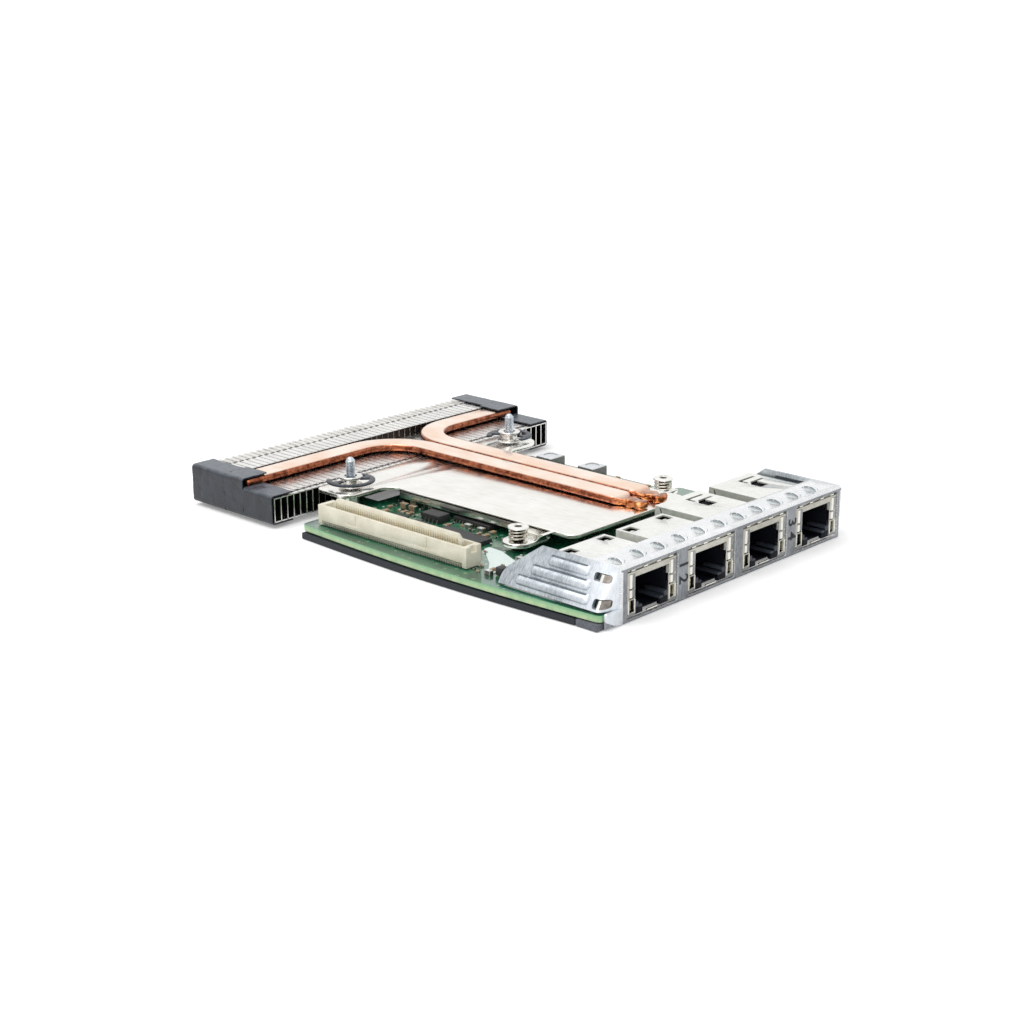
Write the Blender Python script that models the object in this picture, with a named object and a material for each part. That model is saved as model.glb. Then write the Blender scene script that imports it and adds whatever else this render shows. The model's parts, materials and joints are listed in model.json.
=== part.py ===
"""Four port network card with a folded fin cooler, lying with its board connector up.

Metres, +Z up. The card frame has its origin at the lower left front corner of the port
bracket: X runs along the ports, Y runs back into the card. One empty moves that frame so
that the finished part stands centred on the world origin.
"""
import math

import bmesh
import bpy
from mathutils import Matrix, Vector

mm = 0.001
seat = 0.3 * mm            # gap between a piece and what it sits on
arc_steps = 4              # straight edges in one rounded corner

# Port bracket, folded from sheet
bracket_width = 86.4 * mm
bracket_height = 13.4 * mm
bracket_sheet = 0.8 * mm
strip_depth = 8.9 * mm     # the top strip that is folded back over the jacks
window_clearance = 0.35 * mm
window_top_clearance = 0.4 * mm
window_sill = 0.6 * mm
flange_length = 32.2 * mm
flange_top_length = 23.3 * mm
flange_rear_height = 3.0 * mm
flange_corner = 3.0 * mm
flange_foot_corner = 1.2 * mm
flange_lean = 5.4 * mm     # how far the left flange's rear foot stands out over the board
flange_lean_power = 0.35
lean_steps = 6
lean_spacing = 2.2         # the steps are closer at the front, where the lean grows fast
fold_step = 0.06 * mm      # the flanges join the wall this far inside its faces
rib_radius = 0.85 * mm
ribs = (                       # front end, length and height of each
    (9.8 * mm, 10.2 * mm, 11.0 * mm),
    (8.8 * mm, 14.9 * mm, 8.4 * mm),
    (7.6 * mm, 19.7 * mm, 5.8 * mm),
)
hook_length = 4.8 * mm
hook_height = 1.9 * mm
hook_front = 2.0 * mm
hook_levels = (9.2 * mm, 4.4 * mm)
hook_corner = 0.6 * mm
lip_width = 4.6 * mm
lip_height = 3.3 * mm
lip_foot_corner = 0.5 * mm
lip_corner = 1.2 * mm
spring_bump_count = 11
spring_bump_length = 4.2 * mm
spring_bump_width = 2.6 * mm
spring_bump_rise = 0.7 * mm
spring_bump_inset = 5.6 * mm   # from the bracket's ends to the first and last bump
spring_bump_y = 5.3 * mm

# Jacks: 1 and 2 are short, 3 and 4 are long. Their width is what the wall's posts leave
left_post = 2.25 * mm
pair_post = 3.65 * mm
middle_post = 3.0 * mm
right_post = 1.45 * mm
jack_floor = 0.9 * mm
jack_height = 10.9 * mm
jack_front = 0.2 * mm
short_jack_depth = 22.0 * mm
long_jack_depth = 27.2 * mm
shield_sheet = 0.5 * mm
plug_side = 2.8 * mm       # from the plug opening to the can's outer side
plug_height = 6.8 * mm
plug_floor = 3.2 * mm
plug_depth = 13.0 * mm
latch_side = 2.8 * mm      # how much narrower the latch notch is, on each side
latch_step_side = 1.4 * mm
latch_step_drop = 0.8 * mm
latch_depth = 9.0 * mm
lamp_window_width = 1.7 * mm
lamp_window_height = 2.9 * mm
lamp_wall = 0.45 * mm
lamp_lift = 0.9 * mm       # lamp windows above the jack's floor
lamp_back_bar = 1.5 * mm
contact_count = 8
contact_side = 2.33 * mm   # from the plug opening's side to the first contact
contact_wire = 0.45 * mm
contact_bar_depth = 1.1 * mm
contact_reach = 6.0 * mm
contact_rise = 1.4 * mm
contact_root_height = 5.3 * mm
housing_back_gap = 4.0 * mm
top_window = 3.4 * mm
top_window_offset = 6.2 * mm
top_window_y = 19.5 * mm
tab_slot_length = 6.0 * mm
tab_slot_width = 1.2 * mm
tab_slot_pitch = 4.2 * mm
tab_slot_y = 16.5 * mm

# Circuit board and what lies under it
board_left = -5.6 * mm
board_right = 80.2 * mm
board_wing = 3.8 * mm      # the board is this much wider behind the last jack
board_wing_end = 50.0 * mm
board_front = bracket_sheet + seat
board_rear_gap = 10.1 * mm  # from the board's rear edge to the fins
board_thickness = 1.6 * mm
board_floor = 1.8 * mm
board_corner = 1.5 * mm
board_tab_reach = 8.6 * mm
board_tab_width = 13.0 * mm
insulator_thickness = 1.5 * mm
insulator_margin = 1.0 * mm
insulator_overhang = 1.2 * mm
insulator_bulge = 1.8 * mm
foam_length = 6.2 * mm
foam_width = 7.8 * mm

# Board connector along the left edge
connector_left = -3.4 * mm
connector_width = 5.1 * mm
connector_front = 44.4 * mm
connector_height = 5.1 * mm
connector_wall = 0.7 * mm
connector_end_wall = 1.6 * mm
connector_floor = 1.2 * mm
tongue_width = 1.1 * mm
tongue_rise = 2.0 * mm
tongue_end_gap = 1.9 * mm
lead_count = 61
lead_pitch = 0.8 * mm
lead_width = 0.4 * mm
lead_height = 0.9 * mm
lead_bar = 0.25 * mm
lead_thickness = 0.35 * mm
lead_end_margin = 2.1 * mm

# Cooler: one pressed plate, two flat pipes and a stack of folded fins
cooler_middle_x = 44.45 * mm
plate_half_width = 22.25 * mm
plate_front = 33.4 * mm
plate_top = 8.0 * mm
plate_sheet = 1.0 * mm
plate_wall_height = 2.7 * mm
plate_wall_front = 41.5 * mm
plate_corner = 3.0 * mm
join_step = 0.1 * mm       # how far one fold of the plate runs into the next
rear_ear_half_width = 37.0 * mm
rear_ear_length = 12.5 * mm
rear_ear_corner = 4.0 * mm
screw_ear_radius = 3.9 * mm
screw_ear_top = 5.8 * mm
screw_ear_sheet = 1.2 * mm
fin_left = -6.3 * mm
fin_length = 104.2 * mm
fin_front = 110.3 * mm
fin_depth = 33.0 * mm
fin_floor = 1.5 * mm
fin_top = 10.5 * mm
fin_step_depth = 19.4 * mm
fin_roof_depth = 7.6 * mm  # beyond this the tall fins are open at the top
fin_count = 49
fin_sheet = 0.3 * mm
fin_fold = 0.4 * mm
pipe_width = 7.2 * mm
pipe_thickness = 2.2 * mm
pipe_gap = 0.3 * mm
pipe_bend_radius = 13.7 * mm
pipe_pair_x = 54.5 * mm
pipe_front = 34.2 * mm
pipe_crimp_length = 9.0 * mm
pipe_crimp_width = 4.2 * mm
pipe_end_inset = 1.4 * mm
pipe_end_taper = 1.6 * mm
tape_thickness = 0.35 * mm
tape_width = 7.0 * mm
tape_upper_extra = 1.2 * mm

# Screws that hold the cooler down against its springs
spring_screw_offset = 28.05 * mm
spring_screw_y = 46.1 * mm
spring_head_radius = 2.65 * mm
spring_head_height = 1.0 * mm
spring_head_top = 9.4 * mm
spring_shank_radius = 1.2 * mm
spring_collar_radius = 1.75 * mm
spring_collar_height = 0.9 * mm
spring_head_chamfer = 0.25 * mm
shank_clearance = 0.3 * mm
coil_radius = 2.1 * mm
coil_wire_radius = 0.25 * mm
coil_turns = 3
coil_steps = 12

# Captive mounting screws with their posts, sleeves and clips
captive_inset = 6.75 * mm  # from the rear ear's end and from the fins
thread_radius = 1.25 * mm
thread_tip = 16.2 * mm
captive_head_radius = 3.1 * mm
captive_head_floor = 0.2 * mm
captive_head_height = 1.2 * mm
captive_bore_clearance = 0.4 * mm
post_radius = 2.2 * mm
sleeve_neck_radius = 2.1 * mm
sleeve_flange_radius = 3.1 * mm
sleeve_flange_height = 0.6 * mm
sleeve_flange_taper = 0.4 * mm
sleeve_foot_radius = 3.3 * mm
sleeve_foot_height = 0.5 * mm
sleeve_top = 11.2 * mm
clip_outer_radius = 6.4 * mm
clip_ring_width = 1.5 * mm
clip_thickness = 0.4 * mm
clip_drop = 0.5 * mm       # below the sleeve's flange
clip_opening_deg = 110.0
clip_tooth_width = 1.6 * mm
left_clip_turn_deg = 75.0
right_clip_turn_deg = 200.0

# Parts soldered to the board: centre X, centre Y, size X, size Y, height
controller_place = (44.45 * mm, 76.0 * mm, 23.0 * mm, 23.0 * mm, 1.9 * mm)
line_chip_place = (46.0 * mm, 48.0 * mm, 17.0 * mm, 17.0 * mm, 1.9 * mm)
transformer_place = (24.2 * mm, 67.2 * mm, 6.6 * mm, 12.6 * mm, 1.2 * mm)
regulator_place = (19.0 * mm, 77.2 * mm, 5.6 * mm, 6.4 * mm, 2.0 * mm)
choke_rear_place = (74.7 * mm, 87.8 * mm, 5.9 * mm, 5.9 * mm, 3.4 * mm)
choke_front_place = (74.8 * mm, 72.6 * mm, 5.9 * mm, 5.9 * mm, 3.4 * mm)
corner_block_place = (-0.3 * mm, 35.8 * mm, 2.2 * mm, 2.2 * mm, 2.0 * mm)
capacitor_places = (
    (20.4 * mm, 90.0 * mm, 1.3 * mm, 2.1 * mm, 1.5 * mm),
    (20.2 * mm, 86.6 * mm, 1.3 * mm, 2.1 * mm, 1.5 * mm),
    (24.6 * mm, 90.6 * mm, 1.3 * mm, 2.1 * mm, 1.1 * mm),
)
chip_corner = 0.3 * mm

# Values that follow from the sizes above
window_width = (bracket_width - left_post - 2 * pair_post - middle_post - right_post) / 4
jack_width = window_width - 2 * window_clearance
first_port_x = left_post + window_width / 2
pair_pitch = window_width + pair_post
middle_pitch = window_width + middle_post
plug_width = jack_width - 2 * plug_side
latch_width = plug_width - 2 * latch_side
latch_step_width = plug_width - 2 * latch_step_side
contact_pitch = (plug_width - 2 * contact_side) / (contact_count - 1)
board_rear = fin_front - board_rear_gap
rear_ear_front = fin_front - rear_ear_length
captive_offset = rear_ear_half_width - captive_inset
captive_y = fin_front - captive_inset
board_top = board_floor + board_thickness
jack_top = jack_floor + jack_height
fin_right = fin_left + fin_length
fin_rear = fin_front + fin_depth
pipe_floor = plate_top + seat
pipe_line_y = fin_front + fin_step_depth - pipe_gap - pipe_width / 2
connector_length = (lead_count - 1) * lead_pitch + lead_width + 2 * (lead_end_margin - lead_width / 2)
ports = (
    ("1", first_port_x, short_jack_depth, False),
    ("2", first_port_x + pair_pitch, short_jack_depth, False),
    ("3", first_port_x + pair_pitch + middle_pitch, long_jack_depth, True),
    ("4", first_port_x + 2 * pair_pitch + middle_pitch, long_jack_depth, True),
)
tape_reach = seat + tape_thickness
film_left = board_left - insulator_overhang - insulator_bulge
middle_x = (film_left + fin_right + tape_reach) / 2
middle_y = fin_rear / 2

for old in list(bpy.data.objects):
    bpy.data.objects.remove(old, do_unlink=True)

card = bpy.data.objects.new("card", None)
card.location = (-middle_x, -middle_y, 0)
bpy.context.scene.collection.objects.link(card)

finishes = {
    "board_green": ((0.04, 0.24, 0.13), 0.45, 0.0),
    "insulator_dark": ((0.02, 0.025, 0.04), 0.6, 0.0),
    "foam_grey": ((0.10, 0.10, 0.11), 0.8, 0.0),
    "bracket_steel": ((0.66, 0.68, 0.71), 0.3, 1.0),
    "shield_steel": ((0.78, 0.78, 0.76), 0.25, 1.0),
    "housing_black": ((0.012, 0.012, 0.014), 0.5, 0.0),
    "contact_gold": ((0.85, 0.62, 0.28), 0.25, 1.0),
    "lamp_clear": ((0.55, 0.56, 0.48), 0.2, 0.0),
    "connector_ivory": ((0.76, 0.72, 0.60), 0.5, 0.0),
    "lead_tin": ((0.62, 0.60, 0.55), 0.35, 1.0),
    "plate_nickel": ((0.80, 0.79, 0.76), 0.28, 1.0),
    "pipe_copper": ((0.90, 0.48, 0.30), 0.25, 1.0),
    "fin_silver": ((0.78, 0.79, 0.80), 0.35, 1.0),
    "tape_black": ((0.03, 0.035, 0.045), 0.6, 0.0),
    "screw_zinc": ((0.55, 0.60, 0.66), 0.3, 1.0),
    "spring_steel": ((0.62, 0.58, 0.52), 0.25, 1.0),
    "sleeve_nickel": ((0.72, 0.71, 0.68), 0.3, 1.0),
    "clip_black": ((0.05, 0.055, 0.065), 0.35, 0.6),
    "chip_black": ((0.02, 0.02, 0.022), 0.5, 0.0),
    "pad_grey": ((0.45, 0.46, 0.48), 0.8, 0.0),
    "choke_grey": ((0.30, 0.31, 0.32), 0.6, 0.2),
    "capacitor_tan": ((0.42, 0.33, 0.24), 0.5, 0.0),
}


def finish(name):
    """One Principled material for each named finish, made once."""
    known = bpy.data.materials.get(name)
    if known:
        return known
    color, roughness, metallic = finishes[name]
    material = bpy.data.materials.new(name)
    material.use_nodes = True
    shader = material.node_tree.nodes["Principled BSDF"]
    shader.inputs["Base Color"].default_value = (*color, 1)
    shader.inputs["Roughness"].default_value = roughness
    shader.inputs["Metallic"].default_value = metallic
    material.diffuse_color = (*color, 1)
    return material


def face_outward(bm):
    """Make every face point out of its own shell, also where the shape is folded or pierced."""
    bmesh.ops.recalc_face_normals(bm, faces=bm.faces)
    todo = set(bm.faces)
    while todo:
        shell = [todo.pop()]
        volume = 0
        for face in shell:
            corners = [vert.co for vert in face.verts]
            for here, there in zip(corners[1:], corners[2:]):
                volume += corners[0].dot(here.cross(there))
            near = {other for edge in face.edges for other in edge.link_faces} & todo
            todo -= near
            shell += near
        if volume < 0:
            bmesh.ops.reverse_faces(bm, faces=shell)
    bm.normal_update()


def add_piece(name, bm, finish_name, location=(0, 0, 0), round_deg=None):
    """Turn a bmesh into one named object under the card frame."""
    face_outward(bm)
    mesh = bpy.data.meshes.new(name)
    bm.to_mesh(mesh)
    bm.free()
    piece = bpy.data.objects.new(name, mesh)
    bpy.context.scene.collection.objects.link(piece)
    piece.data.materials.append(finish(finish_name))
    piece.location = location
    piece.parent = card
    if round_deg:
        mesh.shade_smooth()
        mesh.set_sharp_from_angle(angle=math.radians(round_deg))
    return piece


def combine(piece, tool_bm, operation):
    """Apply one exact boolean with a temporary tool in the piece's own coordinates."""
    face_outward(tool_bm)
    bmesh.ops.triangulate(tool_bm, faces=tool_bm.faces)
    bm = bmesh.new()
    bm.from_mesh(piece.data)
    bmesh.ops.triangulate(bm, faces=bm.faces)
    bm.to_mesh(piece.data)
    bm.free()
    tool_mesh = bpy.data.meshes.new("tool")
    tool_bm.to_mesh(tool_mesh)
    tool_bm.free()
    tool = bpy.data.objects.new("tool", tool_mesh)
    tool.hide_render = True
    tool.display_type = "WIRE"
    tool.location = piece.location
    tool.parent = card
    bpy.context.scene.collection.objects.link(tool)
    step = piece.modifiers.new("boolean", "BOOLEAN")
    step.operation = operation
    step.solver = "EXACT"
    step.object = tool
    bpy.context.view_layer.update()
    seen = piece.evaluated_get(bpy.context.evaluated_depsgraph_get())
    result = bpy.data.meshes.new_from_object(seen)
    piece.modifiers.remove(step)
    old = piece.data
    piece.data = result
    piece.data.name = piece.name
    bpy.data.meshes.remove(old)
    bpy.data.objects.remove(tool, do_unlink=True)
    bpy.data.meshes.remove(tool_mesh)


def cut(piece, tool_bm):
    combine(piece, tool_bm, "DIFFERENCE")


def weld(piece, tool_bm):
    combine(piece, tool_bm, "UNION")


def merge_flat(piece):
    """Drop the extra edges that booleans leave on flat faces."""
    bm = bmesh.new()
    bm.from_mesh(piece.data)
    bmesh.ops.remove_doubles(bm, verts=bm.verts, dist=0.001 * mm)
    bmesh.ops.dissolve_limit(bm, angle_limit=math.radians(0.5), verts=bm.verts, edges=bm.edges)
    bmesh.ops.triangulate(bm, faces=bm.faces)
    bm.to_mesh(piece.data)
    bm.free()


def add_prism(bm, outline, low, high, plane="XY"):
    """Extrude a flat outline. XY rises along Z, YZ runs along X and XZ runs along Y."""
    def place(a, b, c):
        if plane == "XY":
            return (a, b, c)
        if plane == "YZ":
            return (c, a, b)
        return (a, c, b)
    bottom = [bm.verts.new(place(a, b, low)) for a, b in outline]
    top = [bm.verts.new(place(a, b, high)) for a, b in outline]
    bm.faces.new(bottom)
    bm.faces.new(top)
    for i in range(len(outline)):
        j = (i + 1) % len(outline)
        bm.faces.new((bottom[i], bottom[j], top[j], top[i]))
    return bm


def prism(outline, low, high, plane="XY"):
    return add_prism(bmesh.new(), outline, low, high, plane)


def rectangle(x0, x1, y0, y1):
    return [(x0, y0), (x1, y0), (x1, y1), (x0, y1)]


def add_box(bm, x0, x1, y0, y1, z0, z1):
    return add_prism(bm, rectangle(x0, x1, y0, y1), z0, z1)


def box(x0, x1, y0, y1, z0, z1):
    return add_box(bmesh.new(), x0, x1, y0, y1, z0, z1)


def rounded(corners, steps=arc_steps):
    """Outline from (x, y, radius) corners, each a true arc of a few edges."""
    outline = []
    for i, (x, y, radius) in enumerate(corners):
        here = Vector((x, y))
        if radius <= 0:
            outline.append((x, y))
            continue
        before = (Vector(corners[i - 1][:2]) - here).normalized()
        after = (Vector(corners[(i + 1) % len(corners)][:2]) - here).normalized()
        half = before.angle(after) / 2
        start = here + before * (radius / math.tan(half))
        end = here + after * (radius / math.tan(half))
        centre = here + (before + after).normalized() * (radius / math.sin(half))
        first = start - centre
        sweep = first.angle_signed(end - centre)
        for k in range(steps + 1):
            point = centre + Matrix.Rotation(-sweep * k / steps, 2) @ first
            outline.append((point.x, point.y))
    return outline


def circle(x, y, radius, sides=20):
    return [(x + radius * math.cos(math.tau * k / sides), y + radius * math.sin(math.tau * k / sides))
            for k in range(sides)]


def add_turned(bm, profile, sides=20, closed=False):
    """Turn (radius, height) points about Z. A closed profile makes a ring."""
    rings = []
    for radius, height in profile:
        rings.append([bm.verts.new((radius * math.cos(math.tau * k / sides),
                                    radius * math.sin(math.tau * k / sides), height))
                      for k in range(sides)])
    pairs = list(zip(rings, rings[1:]))
    if closed:
        pairs.append((rings[-1], rings[0]))
    else:
        bm.faces.new(rings[0])
        bm.faces.new(rings[-1])
    for low, high in pairs:
        for k in range(sides):
            j = (k + 1) % sides
            bm.faces.new((low[k], low[j], high[j], high[k]))
    return [vert for ring in rings for vert in ring]


def turned(profile, sides=20, closed=False):
    bm = bmesh.new()
    add_turned(bm, profile, sides, closed)
    return bm


def swept(stations, section):
    """Skin a closed section over stations of (place, sideways, upwards, width scale, height scale)."""
    bm = bmesh.new()
    rings = []
    for place, side, up, wide, tall in stations:
        rings.append([bm.verts.new(place + side * (a * wide) + up * (b * tall)) for a, b in section])
    bm.faces.new(rings[0])
    bm.faces.new(rings[-1])
    count = len(section)
    for low, high in zip(rings, rings[1:]):
        for k in range(count):
            j = (k + 1) % count
            bm.faces.new((low[k], low[j], high[j], high[k]))
    return bm


def jack_box(port_x, depth, clearance):
    """Limits of a jack's body with a clearance all round, for what it passes through."""
    half = jack_width / 2 + clearance
    return port_x - half, port_x + half, depth + clearance


def cooler_pair(offset):
    """The left and right places of a fastener beside the cooler."""
    return (("left", cooler_middle_x - offset), ("right", cooler_middle_x + offset))


def front_cuts(bm, floor, ceiling, clearance):
    """Add the recesses that let the four jacks pass through a layer of the card."""
    for _, port_x, depth, is_long in ports:
        x0, x1, y1 = jack_box(port_x, depth, clearance)
        add_box(bm, x0, x1, -board_front, y1, floor, ceiling)
    return bm


def screw_holes(bm, floor, ceiling, spring_radius, captive_radius):
    for _, x in cooler_pair(spring_screw_offset):
        add_prism(bm, circle(x, spring_screw_y, spring_radius), floor, ceiling)
    for _, x in cooler_pair(captive_offset):
        add_prism(bm, circle(x, captive_y, captive_radius), floor, ceiling)
    return bm


def make_board():
    wing = board_right + board_wing
    corners = [(board_left, board_front, board_corner), (wing, board_front, 0),
               (wing, board_wing_end, board_corner), (board_right, board_wing_end, 0),
               (board_right, board_rear, board_corner)]
    for _, x in reversed(cooler_pair(captive_offset)):
        half = board_tab_width / 2
        far = board_rear + board_tab_reach
        right_side = min(x + half, board_right - board_corner)
        corners += [(right_side, board_rear, board_corner), (right_side, far, board_corner),
                    (x - half, far, board_corner), (x - half, board_rear, board_corner)]
    corners.append((board_left, board_rear, board_corner))
    board = add_piece("circuit_board", prism(rounded(corners), board_floor, board_top), "board_green")
    below, above = board_floor - mm, board_top + mm
    cut(board, front_cuts(bmesh.new(), below, above, seat))
    cut(board, screw_holes(bmesh.new(), below, above, spring_shank_radius + shank_clearance,
                           thread_radius + captive_bore_clearance))
    merge_flat(board)


def make_insulator():
    """A stiff dark film under the board, bowed out a little along its left edge."""
    front = board_front + foam_length + seat
    rear = board_rear - insulator_margin
    left = board_left - insulator_overhang
    right = board_right - insulator_margin
    outline = [(right, front), (right, rear)]
    bow_steps = 8
    for k in range(bow_steps + 1):
        t = k / bow_steps
        outline.append((left - insulator_bulge * math.sin(math.pi * t), rear + (front - rear) * t))
    film = add_piece("bottom_insulator", prism(outline, 0, insulator_thickness), "insulator_dark")
    cut(film, front_cuts(bmesh.new(), -mm, insulator_thickness + mm, seat))
    head_room = captive_head_radius + captive_bore_clearance
    cut(film, screw_holes(bmesh.new(), -mm, insulator_thickness + mm,
                          spring_collar_radius + shank_clearance, head_room))
    merge_flat(film)
    foam = box(left, min(left + foam_width, first_port_x - jack_width / 2 - seat),
               board_front, board_front + foam_length, 0, insulator_thickness)
    add_piece("corner_foam", foam, "foam_grey")


def flange_outline():
    foot = board_top + seat
    top = bracket_height - fold_step
    return rounded([
        (fold_step, foot, 0),
        (flange_length, foot, flange_foot_corner),
        (flange_length, foot + flange_rear_height, flange_corner),
        (flange_top_length, top, flange_corner),
        (fold_step, top, 0),
    ])


def rib(x, front, length, height):
    """A pressed rib along a flange, tapered at both ends."""
    section = [(rib_radius * math.cos(math.tau * k / 10), rib_radius * math.sin(math.tau * k / 10))
               for k in range(10)]
    side, up = Vector((1, 0, 0)), Vector((0, 0, 1))
    taper = ((0, 0.35), (0.5, 0.85), (1.4, 1))
    stations = [(Vector((x, front + t * rib_radius, height)), side, up, scale, scale)
                for t, scale in taper]
    stations += [(Vector((x, front + length - t * rib_radius, height)), side, up, scale, scale)
                 for t, scale in reversed(taper)]
    return swept(stations, section)


def splay_left_flange(bracket):
    """Lean the left flange: its foot stands out more and more towards the rear."""
    bm = bmesh.new()
    bm.from_mesh(bracket.data)
    bmesh.ops.triangulate(bm, faces=bm.faces)

    def on_flange(face):
        return all(v.co.x < bracket_sheet + 0.01 * mm and v.co.z > board_top for v in face.verts)
    for k in range(1, lean_steps):
        faces = [face for face in bm.faces if on_flange(face)]
        edges = {edge for face in faces for edge in face.edges}
        verts = {vert for face in faces for vert in face.verts}
        plane_y = bracket_sheet + (flange_length - bracket_sheet) * (k / lean_steps) ** lean_spacing
        bmesh.ops.bisect_plane(bm, geom=list(verts) + list(edges) + faces, dist=0.001 * mm,
                               plane_co=(0, plane_y, 0), plane_no=(0, 1, 0))
        bmesh.ops.triangulate(bm, faces=bm.faces)
    top = bracket_height - fold_step
    tall = top - board_top - seat
    for vert in bm.verts:
        x, y, z = vert.co
        if x < bracket_sheet + 0.01 * mm and y > bracket_sheet and z > board_top:
            depth = (y - bracket_sheet) / (flange_length - bracket_sheet)
            vert.co.x = x - flange_lean * depth ** flange_lean_power * max(top - z, 0) / tall
    bm.to_mesh(bracket.data)
    bm.free()


def make_bracket():
    """Front wall, top strip, left lip and both flanges, folded from one sheet."""
    profile = rounded([(0, 0, 0), (bracket_sheet, 0, 0),
                       (bracket_sheet, bracket_height - bracket_sheet, 0),
                       (strip_depth, bracket_height - bracket_sheet, 0),
                       (strip_depth, bracket_height, 0), (0, bracket_height, 0.7 * bracket_sheet)])
    bracket = add_piece("io_bracket", prism(profile, fold_step, bracket_width - fold_step, "YZ"),
                        "bracket_steel")
    weld(bracket, prism(rounded([(-lip_width, 0, lip_foot_corner), (bracket_sheet, 0, 0),
                                 (bracket_sheet, lip_height, 0), (-lip_width, lip_height, lip_corner)]),
                        0, bracket_sheet, "XZ"))
    for _, port_x, depth, is_long in ports:
        half = jack_width / 2 + window_clearance
        cut(bracket, box(port_x - half, port_x + half, -mm, bracket_sheet + mm,
                         window_sill, jack_top + window_top_clearance))
    for outer, inner in ((0, bracket_sheet), (bracket_width, bracket_width - bracket_sheet)):
        x0, x1 = sorted((outer, inner))
        weld(bracket, prism(flange_outline(), x0, x1, "YZ"))
        for front, length, height in ribs:
            weld(bracket, rib(outer, front, length, height))
        for level in hook_levels:
            window = rounded([(hook_front, level, hook_corner), (hook_front + hook_length, level, hook_corner),
                              (hook_front + hook_length, level + hook_height, hook_corner),
                              (hook_front, level + hook_height, hook_corner)], 2)
            cut(bracket, prism(window, x0 - mm, x1 + mm, "YZ"))
    splay_left_flange(bracket)
    run = bracket_width - 2 * spring_bump_inset
    bumps = bmesh.new()
    for k in range(spring_bump_count):
        sunk = -0.5 * bracket_sheet / spring_bump_rise
        bump = add_turned(bumps, [(1, sunk), (1, 0), (0.87, 0.5), (0.5, 0.87), (0.2, 1)], 8)
        bmesh.ops.scale(bumps, vec=(spring_bump_length / 2, spring_bump_width / 2, spring_bump_rise), verts=bump)
        x = spring_bump_inset + run * k / (spring_bump_count - 1)
        bmesh.ops.translate(bumps, vec=(x, spring_bump_y, bracket_height), verts=bump)
    weld(bracket, bumps)
    merge_flat(bracket)


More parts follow.
